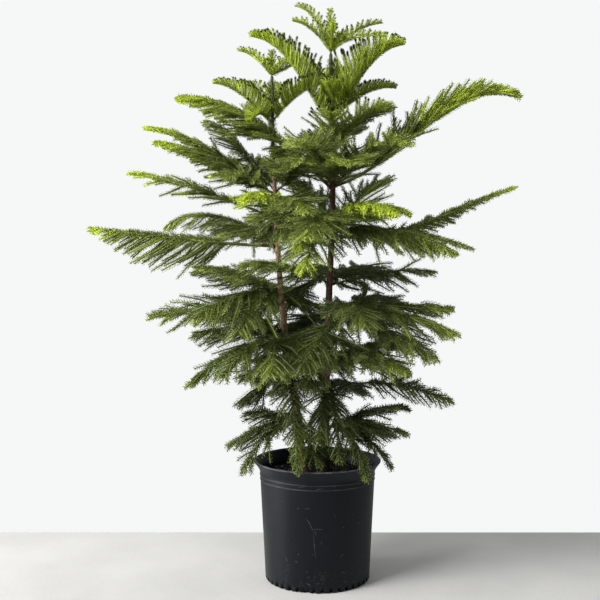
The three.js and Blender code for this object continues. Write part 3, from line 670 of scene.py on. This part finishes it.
whorls = {
    "right_whorl_1": {"height": 1.050, "shoot": 0.016, "spacing": 0.0096, "hang": 52, "sag": 0.0,
                      "sprays": {
        "crown": [(95, 0.018, 0.096, 86, 70), (165, 0.074, 0.102, 66, 8), (205, 0.084, 0.060, 52, -2),
                  (8, 0.105, 0.067, 46, 4), (335, 0.116, 0.027, 40, -14), (58, 0.060, 0.050, 48, 10),
                  (272, 0.062, 0.048, 54, 6)]}},
    "right_whorl_2": {"height": 0.918, "shoot": 0.060, "spacing": 0.0046, "hang": 52, "sag": 0.02,
                      "sprays": {
        "left": [(187, 0.164, 0.170, 52, 2, 48, 20)],
        "right": [(344, 0.148, 0.145, 52, 2, 40, -34, 0.085), (262, 0.080, 0.062, 50, 5)],
        "back": [(24, 0.148, 0.069, 42, -8, 52, 0, 0.030), (98, 0.140, 0.104, 50, 4)]}},
    "right_whorl_3": {"height": 0.856, "shoot": 0.060, "hang": 26, "sag": 0.04, "sprays": {
        "front": [(266, 0.110, 0.066, 45, -5), (320, 0.137, 0.084, 46, 0)],
        "back": [(136, 0.085, 0.030, 40, -4, 26, 0, 0.036), (66, 0.130, 0.046, 40, -4)]}},
    "right_whorl_4": {"height": 0.786, "shoot": 0.080, "hang": 14, "sag": 0.06, "sprays": {
        "left": [(191, 0.314, 0.173, 44, -6, -10, 38, 0.062, -0.3)],
        "right": [(352, 0.368, 0.169, 15, -26, 58, -20, 0.072)],
        "front": [(250, 0.215, 0.060, 34, -12), (306, 0.225, 0.060, 34, -12), (279, 0.185, 0.020, 28, -22)],
        "back": [(64, 0.200, 0.060, 32, -12), (124, 0.250, 0.060, 30, -12)]},
        "bare": {"left": 0.070, "right": 0.080}},
    "right_whorl_5": {"height": 0.692, "shoot": 0.086, "hang": -16, "sag": 0.08, "sprays": {
        "right": [(8, 0.388, 0.100, -12, 16, -12, -30, 0.044)],
        "front_right": [(322, 0.285, -0.040, 10, -24, -34, -8, 0.074),
                        (347, 0.280, -0.033, 8, -22, -20, 0, 0.046)],
        "front": [(258, 0.255, -0.020, 28, -34), (298, 0.235, 0.024, 42, -24, -10, 0, 0.034),
                  (250, 0.165, -0.075, 6, -42),
                  (236, 0.190, 0.050, 40, -8), (330, 0.170, 0.030, 40, -30, -10, 0, 0.034)],
        "back": [(72, 0.300, 0.044, 22, -12), (128, 0.290, 0.036, 22, -15), (120, 0.150, 0.112, 52, 8, 10),
                 (40, 0.153, 0.112, 52, 8, 10)]},
        "bare": {"right": 0.095}},
    "right_whorl_6": {"height": 0.592, "shoot": 0.070, "hang": -17, "sag": 0.10, "sprays": {
        "right": [(12, 0.226, 0.024, 16, -10, -34, 0, 0.062)],
        "left": [(200, 0.190, 0.034, 30, -14), (150, 0.200, -0.060, -16, -22)],
        "back": [(60, 0.260, 0.004, 18, -20), (104, 0.275, 0.0, 18, -20)]}},
    "right_whorl_7": {"height": 0.512, "shoot": 0.092, "hang": -17, "sag": 0.10, "sprays": {
        "right": [(351, 0.250, 0.036, 45, 0), (334, 0.272, -0.012, 24, -26), (322, 0.250, -0.052, 2, -26),
                  (290, 0.190, 0.010, 46, -44), (252, 0.180, -0.070, -10, -30),
                  (5, 0.080, 0.080, 10, 86, 30, 0, 0.030)],
        "back": [(50, 0.238, 0.034, 34, -14), (108, 0.238, -0.040, 4, -26)]}},
    "right_whorl_8": {"height": 0.432, "shoot": 0.080, "hang": -17, "sag": 0.10, "sprays": {
        "front_right": [(312, 0.218, 0.0, 24, -30), (332, 0.175, 0.040, 38, -20, -17, 0, 0.060)],
        "front": [(252, 0.124, -0.040, 30, -55), (148, 0.170, -0.040, 4, -30)],
        "back": [(34, 0.205, -0.040, 10, -26), (96, 0.205, -0.050, -2, -28)]}},
    "right_whorl_9": {"height": 0.372, "shoot": 0.060, "hang": -18, "sag": 0.12, "sprays": {
        "right": [(9, 0.268, -0.026, 28, -26, -6, -40, 0.056)],
        "front": [(282, 0.112, -0.122, 24, -80), (262, 0.120, -0.084, 20, -62)],
        "back": [(66, 0.198, -0.034, 10, -28), (128, 0.190, -0.032, 10, -28)]},
        "bare": {"right": 0.080}},
    "right_whorl_10": {"height": 0.302, "shoot": 0.056, "hang": -14, "sag": 0.12, "sprays": {
        "right": [(14, 0.176, 0.036, 22, -6), (36, 0.180, -0.036, 8, -32), (352, 0.165, -0.006, 18, -16)],
        "over_rim": [(350, 0.135, -0.082, 12, -62, -14, 0, 0.034),
                     (303, 0.143, -0.086, 12, -64, -14, 0, 0.034)]}},
    "left_whorl_1": {"height": 1.008, "shoot": 0.014, "spacing": 0.0080, "hang": 52, "sag": 0.0,
                     "sprays": {
        "crown": [(95, 0.005, 0.054, 88, 84), (182, 0.068, 0.053, 52, 2), (12, 0.052, 0.030, 22, 24),
                  (330, 0.046, 0.034, 36, 10), (112, 0.056, 0.040, 42, 6)]}},
    "left_whorl_2": {"height": 0.920, "shoot": 0.034, "hang": 48, "sag": 0.02, "sprays": {
        "left": [(181, 0.120, 0.080, 46, 2), (250, 0.125, -0.012, 28, -26)],
        "right": [(338, 0.138, 0.066, 52, -18)],
        "back": [(130, 0.114, 0.078, 46, 0), (78, 0.110, 0.076, 50, 4)]}},
    "left_whorl_3": {"height": 0.776, "shoot": 0.070, "hang": -6, "sag": 0.06, "sprays": {
        "left": [(179, 0.266, 0.133, 32, 2, 4, 8, 0.042), (198, 0.244, 0.097, 26, 4, -16, 12, 0.048),
                 (224, 0.160, 0.030, 22, -14)],
        "right": [(349, 0.246, 0.164, 40, 6), (290, 0.180, 0.046, 32, -14)],
        "back": [(150, 0.175, 0.148, 42, 6, -30, 0, 0.060), (94, 0.225, 0.070, 30, -10),
                 (52, 0.205, 0.066, 30, -10)]}},
    "left_whorl_4": {"height": 0.728, "shoot": 0.074, "hang": -8, "sag": 0.06, "sprays": {
        "left": [(177, 0.300, 0.091, 20, 6, 6, 16, 0.050, -0.3)],
        "front": [(256, 0.205, 0.024, 30, -18, -4, 0, 0.054), (286, 0.225, -0.002, 28, -28),
                  (288, 0.170, -0.072, 6, -42)]},
        "bare": {"left": 0.075}},
    "left_whorl_5": {"height": 0.670, "shoot": 0.088, "hang": -16, "sag": 0.08, "sprays": {
        "left": [(185, 0.378, 0.036, 2, 8, -18, 42, 0.092, -0.38)],
        "back_left": [(166, 0.245, 0.030, 40, -48, -46, 0, 0.062)],
        "back": [(116, 0.315, 0.010, 20, -18), (80, 0.290, 0.008, 20, -18)]},
        "bare": {"left": 0.095}},
    "left_whorl_6": {"height": 0.574, "shoot": 0.084, "hang": -17, "sag": 0.10, "sprays": {
        "left": [(191, 0.264, -0.042, -4, 0, 8, 28, 0.088)],
        "front_left": [(218, 0.205, -0.048, 6, -30), (207, 0.186, 0.050, 30, -4, -30, 0, 0.046),
                       (242, 0.180, -0.080, -6, -34)],
        "back": [(168, 0.178, 0.036, 26, -10), (124, 0.220, -0.060, -4, -26), (80, 0.205, -0.050, 0, -24),
                 (22, 0.150, -0.056, -30, -14)]},
        "bare": {"left": 0.075}},
    "left_whorl_7": {"height": 0.480, "shoot": 0.090, "hang": -17, "sag": 0.10, "sprays": {
        "left": [(199, 0.205, -0.085, 6, -42, -10, 0, 0.066)],
        "front_left": [(232, 0.190, -0.060, 12, -40), (262, 0.190, -0.055, 14, -38),
                       (292, 0.170, -0.042, 14, -34)],
        "back": [(177, 0.186, 0.0, 22, -16), (136, 0.210, 0.032, 34, -10), (90, 0.200, -0.050, 4, -28),
                 (36, 0.170, -0.030, 14, -26)]}},
    "left_whorl_8": {"height": 0.402, "shoot": 0.080, "hang": -17, "sag": 0.10, "sprays": {
        "front": [(236, 0.150, 0.012, 30, -34), (274, 0.150, -0.161, 30, -84, -14, 0, 0.038)],
        "back": [(150, 0.125, -0.066, -6, -36), (100, 0.172, 0.016, 30, -18)]}},
    "left_whorl_9": {"height": 0.312, "shoot": 0.052, "hang": -14, "sag": 0.12, "sprays": {
        "left": [(184, 0.141, -0.044, 14, -34), (205, 0.121, -0.088, 6, -62),
                 (288, 0.118, -0.066, 16, -60)],
        "back": [(164, 0.112, 0.010, 20, -14), (108, 0.130, -0.024, 10, -26)]}},
}
armLook = {"footShare": 0.009, "leastFoot": 0.0019, "tipRadius": 0.0011, "forkAt": 0.07, "stagger": 0.005}
# arms with ways of their own: flush is pale new growth, as the share of the outer end and how pale it is,
# and the branchlets may be ruffled by jitter, curl over, be plump, or stand closer or wider than usual
manners = {
    "right_whorl_2_left_187": {"plump": 1.2},
    "right_whorl_2_right_344": {"spacing": 0.0038, "plump": 1.4},
    "right_whorl_4_left_191": {"flush": (0.25, 0.14), "jitter": 12, "spacing": 0.0042, "plump": 1.5},
    "right_whorl_4_right_352": {"flush": (0.62, 0.18), "jitter": 30, "curl": 0.26, "spacing": 0.0042,
                                "plump": 1.35, "full": 0.06},
    "right_whorl_5_right_8": {"flush": (0.16, 0.28), "jitter": 14, "curl": 0.10, "spacing": 0.0052,
                              "plump": 1.2, "taper": 1.5},
    "right_whorl_5_front_right_322": {"spacing": 0.0048},
    "right_whorl_5_front_250": {"flush": (0.30, 0.30)},
    "right_whorl_5_front_298": {"flush": (0.80, 0.46), "jitter": 26, "curl": 0.30, "plump": 1.6},
    "right_whorl_5_front_330": {"flush": (0.80, 0.42), "jitter": 26, "curl": 0.30, "plump": 1.6},
    # painted light: these two back arms are paler all along, as if lit, though they stand in the canopy's
    # shade
    "right_whorl_5_back_40": {"flush": (1.0, 0.22)},
    "right_whorl_5_back_120": {"flush": (1.0, 0.22)},
    "right_whorl_6_right_12": {"jitter": 20, "spacing": 0.0110},
    "right_whorl_7_right_334": {"flush": (0.25, 0.18)},
    "right_whorl_7_right_351": {"flush": (0.25, 0.18)},
    "right_whorl_8_front_right_312": {"flush": (0.30, 0.16)},
    "right_whorl_9_right_9": {"flush": (0.20, 0.12), "spacing": 0.0080},
    "left_whorl_2_right_338": {"spacing": 0.0040, "plump": 1.4},
    "left_whorl_3_left_179": {"flush": (0.30, 0.24), "jitter": 14, "curl": 0.15, "spacing": 0.0046,
                              "plump": 1.35},
    "left_whorl_3_left_198": {"flush": (0.30, 0.20), "jitter": 14, "curl": 0.15, "spacing": 0.0046,
                              "plump": 1.35},
    # painted shade: this back arm is darker all along
    "left_whorl_3_back_150": {"flush": (1.0, -0.15)},
    "left_whorl_4_left_177": {"flush": (0.30, 0.20), "jitter": 18, "curl": 0.20, "plump": 1.2},
    "left_whorl_4_front_256": {"flush": (0.75, 0.36), "jitter": 16, "curl": 0.30, "plump": 1.5},
    "left_whorl_4_front_288": {"flush": (0.30, 0.25)},
    "left_whorl_5_left_185": {"flush": (0.14, 0.32), "jitter": 10, "spacing": 0.0048, "plump": 1.12,
                              "taper": 1.15},
    "left_whorl_5_back_left_166": {"spacing": 0.0100},
    "left_whorl_7_front_left_262": {"flush": (0.35, 0.22)},
    "left_whorl_8_front_274": {"flush": (0.30, 0.08)},
}


def armCurve(foot, ahead, start, reach, rise, lift, nod):
    tip = foot + ahead * reach + up * rise
    pull = np.linalg.norm(tip - start) / 3
    return start, start + tilted(ahead, lift) * pull, tip - tilted(ahead, nod) * pull, tip


def layOutArms():
    arms = []
    for name, whorl in whorls.items():
        stem = name.split("_")[0]
        usual = (whorl["hang"], 0, whorl["shoot"], 0)
        for order, (label, spray) in enumerate(whorl["sprays"].items()):
            crown = label == "crown"
            height = whorl["height"] + (0 if crown else armLook["stagger"] * (order % 3 - 1))
            foot = stemPoint(stem, height)
            bare = whorl.get("bare", {}).get(label, 0)
            trunk = None  # the first arm of a spray, from which the others fork
            for turn, reach, rise, lift, nod, *own in spray:
                ahead = compass(turn)
                if trunk is not None:
                    start = bezier(trunk, [armLook["forkAt"]])[0][0]
                elif crown:
                    start = foot
                else:
                    start = foot + ahead * stemRadius(stem, height) * 0.8
                curve = armCurve(foot, ahead, start, reach, rise, lift, nod)
                trunk = curve if trunk is None else trunk
                length = curveLength(curve)
                hang, roll, shoot, skew = (*own, *usual[len(own):])
                arms.append({
                    "node": f"{name}_{label}", "name": f"{name}_{label}_{turn}", "stem": stem, "whorl": whorl,
                    "turn": turn, "reach": max(reach, rise), "curve": curve, "length": length,
                    "bare": bare / length, "foot": max(armLook["leastFoot"], armLook["footShare"] * reach),
                    "hang": hang, "roll": roll, "shoot": shoot, "skew": skew,
                })
    return arms


arms = layOutArms()
print("arms are laid out:", len(arms))


# branchlets: two ranks of slim shoots along each arm, where a pair of values is for old and for young arms

branchletLook = {
    "fresh": (0.74, 0.96),  # heights between which the whorls turn from old to young
    "spacing": (0.0080, 0.0054), "first": 0.06, "last": 0.985, "gaps": 0.08, "jitter": (16, 4),
    "spread": (60, 42), "youngSpread": (78, 56),  # at the foot and at the tip of an arm
    "lean": (0.22, 0.16), "bend": (0.070, 0.030), "longest": 0.5, "taper": 0.8, "full": 0.24,
    "lengths": (np.array([0.70, 1.12]), np.array([0.90, 1.06])),
    # at the ends of young shoots the needles are painted darker, as painted shade; on old shoots a little
    # paler
    "core": (0.0023, 0.0017), "tilts": (np.array([64, 46]), np.array([42, 20])), "tipShading": (0.04, -0.3),
    "needle": (0.0064, 0.0045), "needleWidth": (0.0019, 0.0016), "perMetre": (1250, 1400),
    "aged": 0.25, "agedHeights": (0.72, 0.42),
}
axisLook = {
    "stretch": 0.03, "needle": (0.0098, 0.0072), "width": 0.0022, "perMetre": 950, "tilts": (60, 46),
    "stemFrom": 0.660, "stemStretch": 0.02, "stemNeedle": 0.0105, "stemPerMetre": 1700, "stemTilt": 62,
}
keepClear = {"over": 0.005, "lip": 0.004, "wall": 0.010, "soil": 0.008, "stem": 0.002}
# The grade of needles and cords paints light and shade: high, heights, outer, outward and along make upper
# and outer parts paler as painted light and the low inside darker as painted shade, while young and the tip
# flush are the paler new growth of the tree.
brightLook = {  # from 0 for the shaded inside to 1 for the palest growth
    "least": 0.268, "high": 0.195, "heights": (0.30, 0.80), "young": 0.405, "outer": 0.16,
    "outward": (0.04, 0.26), "along": 0.10, "tipShare": 0.12, "tipPale": 0.08, "vary": 0.06,
    "arm": -0.05, "stem": 0.16, "stemYoung": 0.20,
}


def branchletLength(longest, at, first, taper, full):
    swell = mix(0.5, 1, smooth(first, first + full, at))
    return longest * swell * np.clip(1.42 * (1 - at) ** taper, 0.0, 1.0) + 0.006


def freshness(height):  # 0 on the oldest whorls, 1 at the top
    return float(smooth(*branchletLook["fresh"], height))


def byAge(key, young):  # between the values for old and for young arms
    return mix(*branchletLook[key], young)


def mannerOf(arm, young):  # the usual habits, apart from an arm's own
    usual = {
        "spacing": arm["whorl"].get("spacing", byAge("spacing", young)), "jitter": byAge("jitter", young),
        "curl": 0, "plump": 1, "taper": branchletLook["taper"], "full": branchletLook["full"],
        "flush": (brightLook["tipShare"], brightLook["tipPale"] * (1 - young)),
    }
    return {**usual, **manners.get(arm["name"], {})}


def touchesPot(points):
    far = np.hypot(points[:, 0], points[:, 1])
    nearPot = ((points[:, 2] < potLook["height"] + keepClear["over"])
               & (far < potLook["lipRadius"] + keepClear["lip"]))
    overSoil = ((far < potLook["shoulderRadius"] - keepClear["wall"])
                & (points[:, 2] > soilTop + keepClear["soil"]))
    return bool((nearPot & ~overSoil).any())


def touchesStem(points):
    for stem in stemLook:
        away = np.linalg.norm((points - stemPoint(stem, points[:, 2]))[:, :2], axis=1)
        inside = points[:, 2] < stemLook[stem]["path"][-1][2]
        if (inside & (away < stemRadius(stem, points[:, 2]) + keepClear["stem"])).any():
            return True
    return False


def brightnessOf(arm, at, root):
    outward = np.linalg.norm((root - stemPoint(arm["stem"], root[2]))[:2])
    # painted light and shade: higher up and further out from the stem is paler, the low inside darker
    value = brightLook["least"] + brightLook["high"] * smooth(*brightLook["heights"], root[2])
    value += brightLook["young"] * arm["young"]
    value += brightLook["outer"] * smooth(*brightLook["outward"], outward) + brightLook["along"] * (at - 0.5)
    flush, pale = arm["manner"]["flush"]
    value += pale * smooth(1 - flush - 0.08, 1 - flush + 0.1, at)
    return value + rng.normal(0, brightLook["vary"])


def addShoot(grown, root, out, length, droop, look):  # one shoot, unless it would touch the pot or a stem
    tip = root + out * length + droop * length
    bend = rng.normal(0, byAge("bend", look["young"]), 3) * length
    curve = (root, root + out * length * 0.5 + bend, tip)
    samples, _ = bezier(curve, [0.35, 0.7, 1.0])
    if not (touchesPot(samples) or touchesStem(samples)):
        grown.append({"curve": curve, "length": length, **look})


def ranksOf(arm, first):  # places along an arm from the first on, each with the way that its shoot points
    right = np.cross(compass(arm["turn"]), up)
    last, jitter, young = branchletLook["last"], arm["manner"]["jitter"], arm["young"]
    count = max(2, int(arm["length"] * (last - first) / arm["manner"]["spacing"]))
    for rank in (-1, 1):
        for k in range(count):
            at = first + (last - first) * (k + 0.25 * (1 + rank) + rng.uniform(-0.2, 0.2)) / count
            at = min(max(at, first), 0.995)
            if rng.random() < branchletLook["gaps"] * (1 - young):
                continue
            points, tangents = bezier(arm["curve"], [at])
            root, forward = points[0], tangents[0]
            over = np.cross(right, forward)
            spread = mix(mix(*branchletLook["spread"], at), mix(*branchletLook["youngSpread"], at), young)
            spread = math.radians(spread + rng.normal(0, jitter * 0.6))
            hang = math.radians(arm["hang"] + rank * arm["roll"] + rng.normal(0, jitter))
            out = forward * math.cos(spread) + right * rank * math.sin(spread) * math.cos(hang)
            yield rank, at, root, forward, out + over * math.sin(spread) * math.sin(hang)


def growBranchlets():
    grown = []
    for arm in arms:
        whorl, young, manner = arm["whorl"], arm["young"], arm["manner"]
        curl, plump = manner["curl"], manner["plump"]
        first = max(branchletLook["first"], arm["bare"] + 0.01)
        longest = min(arm["shoot"], branchletLook["longest"] * arm["reach"])
        aged = 1 + branchletLook["aged"] * float(smooth(*branchletLook["agedHeights"], whorl["height"]))
        look = {
            "young": young, "perMetre": byAge("perMetre", young), "tipShading": byAge("tipShading", young),
            "needle": byAge("needle", young) * aged, "width": byAge("needleWidth", young) * plump ** 0.5,
            "core": byAge("core", young) * plump,
            "tilt": byAge("tilts", young) * aged ** 0.5 / plump ** 0.5,
        }
        lean, uneven = byAge("lean", young), byAge("lengths", young)
        for rank, at, root, forward, out in ranksOf(arm, first):
            length = branchletLength(longest, at, first, manner["taper"], manner["full"])
            length = length * rng.uniform(*uneven) * (1 + rank * arm["skew"])
            droop = forward * (lean + curl) - up * (whorl["sag"] + 0.7 * curl)
            addShoot(grown, root, out, length, droop, {**look, "bright": brightnessOf(arm, at, root)})
    return grown


def growAxes():  # the needles on the arms themselves, as short stretches
    grown = []
    for arm in arms:
        young = arm["young"]
        tilt = mix(*axisLook["tilts"], young)
        stretches = max(3, int(arm["length"] / axisLook["stretch"]))
        marks = np.linspace(max(0.04, arm["bare"] * 0.3), 1, stretches + 1)
        for low, high in zip(marks, marks[1:]):
            a, m, b = bezier(arm["curve"], [low, (low + high) / 2, high])[0]
            grown.append({
                "curve": (a, 2 * m - (a + b) / 2, b), "length": np.linalg.norm(b - a), "young": young,
                "needle": mix(*axisLook["needle"], young) * mix(1, 0.7, high), "width": axisLook["width"],
                "perMetre": axisLook["perMetre"] * mix(0.75, 1.5, high) * mix(1, 1.6, young),
                "core": mix(arm["foot"], armLook["tipRadius"], low), "limb": True,
                "coreEnd": mix(arm["foot"], armLook["tipRadius"], high),
                "bright": brightnessOf(arm, low, a) + brightLook["arm"],
                "tilt": (tilt, tilt - 6) if high < 1 else (tilt - 14, 12), "tipShading": 0,
            })
    for stem, look in stemLook.items():  # the young tops of the stems are clad too
        marks = np.arange(axisLook["stemFrom"], look["path"][-1][2], axisLook["stemStretch"])
        for low, high in zip(marks, marks[1:]):
            a, m, b = stemPoint(stem, np.array([low, (low + high) / 2, high]))
            young = freshness(high)
            grown.append({
                "curve": (a, 2 * m - (a + b) / 2, b), "length": high - low, "young": young,
                "needle": axisLook["stemNeedle"], "width": axisLook["width"],
                "perMetre": axisLook["stemPerMetre"] * mix(0.55, 1, young),
                "core": stemRadius(stem, low), "limb": False,
                "bright": brightLook["stem"] + brightLook["stemYoung"] * young,
                "tilt": (axisLook["stemTilt"], axisLook["stemTilt"]), "tipShading": 0,
            })
    return grown


for arm in arms:
    arm["young"] = freshness(arm["whorl"]["height"])
    arm["manner"] = mannerOf(arm, arm["young"])
branchlets = growBranchlets()
axes = growAxes()
print("branchlets:", len(branchlets), "arm stretches:", len(axes))


# needles: slim folded blades set round every shoot in a spiral

needleGrades = [  # from the shaded inside to the palest new growth
    ("needles_shaded", (0.047, 0.064, 0.019), "deep_needles"),
    ("needles_deep", (0.073, 0.101, 0.024), "deep_needles"),
    ("needles_dark", (0.111, 0.150, 0.034), "green_needles"),
    ("needles_green", (0.163, 0.215, 0.045), "green_needles"),
    ("needles_leafy", (0.232, 0.300, 0.058), "green_needles"),
    ("needles_fresh", (0.322, 0.405, 0.070), "fresh_needles"),
    ("needles_bright", (0.425, 0.526, 0.064), "fresh_needles"),
    ("needles_lime", (0.560, 0.690, 0.066), "fresh_needles"),
]
needleLook = {
    "most": 400000, "inPiece": 97500, "widest": 0.34, "fold": 0.8, "goldenTurn": 2.39996, "turnVary": 0.25,
    "tiltVary": 7, "lengthVary": (0.82, 1.15), "shorterTip": 0.32, "dull": (0.72, 0.70, 0.80),
    "keen": (1.42, 1.35, 1.45),
}


def gradeOf(value):
    return np.clip(np.floor(np.asarray(value) * len(needleGrades)).astype(int), 0, len(needleGrades) - 1)


def needleMaterial(name, tint):
    material, tree, shader = newMaterial(name)
    each = addNode(tree, "ShaderNodeNewGeometry").outputs["Random Per Island"]
    drift = noiseOf(tree, placeOf(tree), 45, 3)
    dull, keen = shaded(tint, needleLook["dull"]), shaded(tint, needleLook["keen"])
    own = rampOf(tree, each, [(0.0, dull), (0.5, tint), (1.0, keen)])
    shade = rampOf(tree, drift, [(0.35, 0.86), (0.65, 1.0)])
    colour = blendOf(tree, 1.0, own, shade, "MULTIPLY")
    feed(tree, shader, colour, rampOf(tree, drift, [(0.3, 0.32), (0.7, 0.46)]))
    shader.inputs["Specular IOR Level"].default_value = 0.44
    return material


def growNeedles(shoots):
    wanted = np.array([s["perMetre"] * s["length"] for s in shoots])
    counts = np.maximum(3, np.round(wanted * min(1, needleLook["most"] / wanted.sum()))).astype(int)
    owner = np.repeat(np.arange(len(shoots)), counts)
    number = np.arange(len(owner)) - np.repeat(np.cumsum(counts) - counts, counts)
    of = {key: np.array([s[key] for s in shoots])[owner] for key in
          ("needle", "width", "core", "bright", "tilt", "tipShading")}
    a, b, c = (np.array([s["curve"][i] for s in shoots])[owner] for i in range(3))
    along = ((number + rng.uniform(0.2, 0.8, len(owner))) / counts[owner])[:, None]
    share = along[:, 0]
    centre, forward = bow(a, b, c, along)
    first, second = squareTo(forward)
    vary = rng.normal(0, needleLook["turnVary"], len(owner))
    turn = (number * needleLook["goldenTurn"] + owner * 1.7 + vary)[:, None]
    radial = first * np.cos(turn) + second * np.sin(turn)
    tilt = mix(of["tilt"][:, 0], of["tilt"][:, 1], share ** 1.6)
    tilt = np.radians(tilt + rng.normal(0, needleLook["tiltVary"], len(owner)))[:, None]
    aim = unit(forward * np.cos(tilt) + radial * np.sin(tilt))
    length = of["needle"] * (1 - needleLook["shorterTip"] * share ** 3)
    length = (length * rng.uniform(*needleLook["lengthVary"], len(owner)))[:, None]
    base = centre + radial * (of["core"] * 0.7)[:, None]
    tip = base + aim * length
    flank = unit(np.cross(aim, radial))
    keel = np.cross(flank, aim)
    half = (of["width"] / 2)[:, None]
    waist = base + aim * length * needleLook["widest"] + keel * half * needleLook["fold"]
    points = np.stack([base, waist + flank * half, waist - flank * half, tip], 1)
    # painted shade at the ends of young shoots
    grade = gradeOf(of["bright"] + of["tipShading"] * smooth(0.86, 0.96, share))
    blade = np.array([(0, 1, 3), (0, 3, 2)])  # folded along its middle
    for level, (name, tint, slot) in enumerate(needleGrades):
        mine = points[grade == level]
        print(name, len(mine), "needles")
        parts = max(1, math.ceil(len(mine) / needleLook["inPiece"]))
        for part, some in enumerate(np.array_split(mine, parts)):
            faces = (np.arange(len(some))[:, None, None] * 4 + blade).reshape(-1, 3)
            addPiece(f"{name}_{part + 1}", some.reshape(-1, 3), faces, needleMaterial(name, tint), slot)


growNeedles(branchlets + axes)
print("needles are grown")


# twigs: the slim cores of the branchlets, the arms and the bare boughs

cordLook = {
    "rings": (0, 0.5, 1), "sides": 3, "tip": 0.5, "armSides": 6, "clad": 0.0004,
    # these rows make near-black ends on young shoots that point up, as painted shade
    "shadeTipRings": (0.88, 0.95, 1.004), "shadeTipShape": (0.9, 1.1, 0.7), "shadeTipRise": 0.6,
    "shadeTip": (0.016, 0.015, 0.009),
}
twigLook = {
    "brown": (0.090, 0.055, 0.032), "armSides": 8, "armStep": 0.005, "knots": 0.00035, "brownTo": 0.12,
}


def manyTubes(shoots, rings, radii, sides):  # slim tubes along many short curves at once
    a, b, c = (np.array([s["curve"][i] for s in shoots])[:, None] for i in range(3))
    centres, forward = bow(a, b, c, np.array(rings)[:, None])
    first, second = squareTo(forward)
    turn = roundAngles(sides)[:, None]
    around = first[:, :, None] * np.cos(turn) + second[:, :, None] * np.sin(turn)
    points = centres[:, :, None] + around * radii[:, :, None, None]
    starts = np.arange(len(shoots))[:, None, None] * len(rings) * sides
    return points.reshape(-1, 3), (starts + ringFaces(len(rings), sides)).reshape(-1, 3)


def pointsUp(shoot):
    return shoot["curve"][2][2] - shoot["curve"][0][2] > cordLook["shadeTipRise"] * shoot["length"]


def addCords():  # the scale-clad bodies of the branchlets and of the green arms
    rings = cordLook["rings"]
    taper = 1 - (1 - cordLook["tip"]) * np.array(rings) ** 2
    for level, (name, tint, slot) in enumerate(needleGrades):
        parts = []
        mine = [s for s in branchlets if gradeOf(s["bright"]) == level]
        if mine:
            radii = np.array([s["core"] for s in mine])[:, None] * taper
            parts.append(manyTubes(mine, rings, radii, cordLook["sides"]))
        limbs = [s for s in axes if s["limb"] and gradeOf(s["bright"]) == level]
        if limbs:
            radii = np.array([[s["core"], (s["core"] + s["coreEnd"]) / 2, s["coreEnd"]] for s in limbs])
            parts.append(manyTubes(limbs, rings, radii + cordLook["clad"], cordLook["armSides"]))
        if parts:
            green = needleMaterial(name + "_cord", tint)
            addPiece(name.replace("needles", "cords"), *joined(parts), green, slot)


def addShadedTips():  # painted shade: near-black ends on the young shoots that point up
    shadedTips = [s for s in branchlets if s["young"] > 0.5 and pointsUp(s)]
    radii = np.array([s["core"] for s in shadedTips])[:, None] * np.array(cordLook["shadeTipShape"])
    tips = manyTubes(shadedTips, cordLook["shadeTipRings"], radii, cordLook["sides"])
    dark = mottled("painted_shade_tips", cordLook["shadeTip"], 300, 0.7, 0.0003)
    addPiece("shaded_branchlet_tips", *tips, dark, "fresh_needles", sorted({arm["node"] + "_spray" for arm in arms}))


def armLimb(arm, low, high):
    steps = np.linspace(low, high, max(3, int(arm["length"] * (high - low) / twigLook["armStep"])))
    points, tangents = bezier(arm["curve"], steps)
    radii = mix(arm["foot"], armLook["tipRadius"], steps)[:, None] * np.ones(twigLook["armSides"])
    radii = radii + rng.uniform(-1, 1, radii.shape) * twigLook["knots"] * (1 - steps[:, None])
    return tube(points, tangents, radii, np.cross(compass(arm["turn"]), up))


def addTwigs():
    brown = mottled("brown_bough_bark", twigLook["brown"], 190, 0.88, 0.0010)
    boughs = sorted({arm["node"] + "_bough" for arm in arms if arm["bare"]})
    limbs = [armLimb(arm, 0, max(twigLook["brownTo"], arm["bare"] + 0.02)) for arm in arms]
    addPiece("bough_bark", *joined(limbs), brown, "bark", boughs)


addCords()
addShadedTips()
addTwigs()
print("twigs and boughs are made")

newLow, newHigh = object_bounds()
for label, low, high in (("size", newLow, newHigh), ("cad", cadLow, cadHigh)):
    print(label, [round(b - a, 3) for a, b in zip(low, high)])
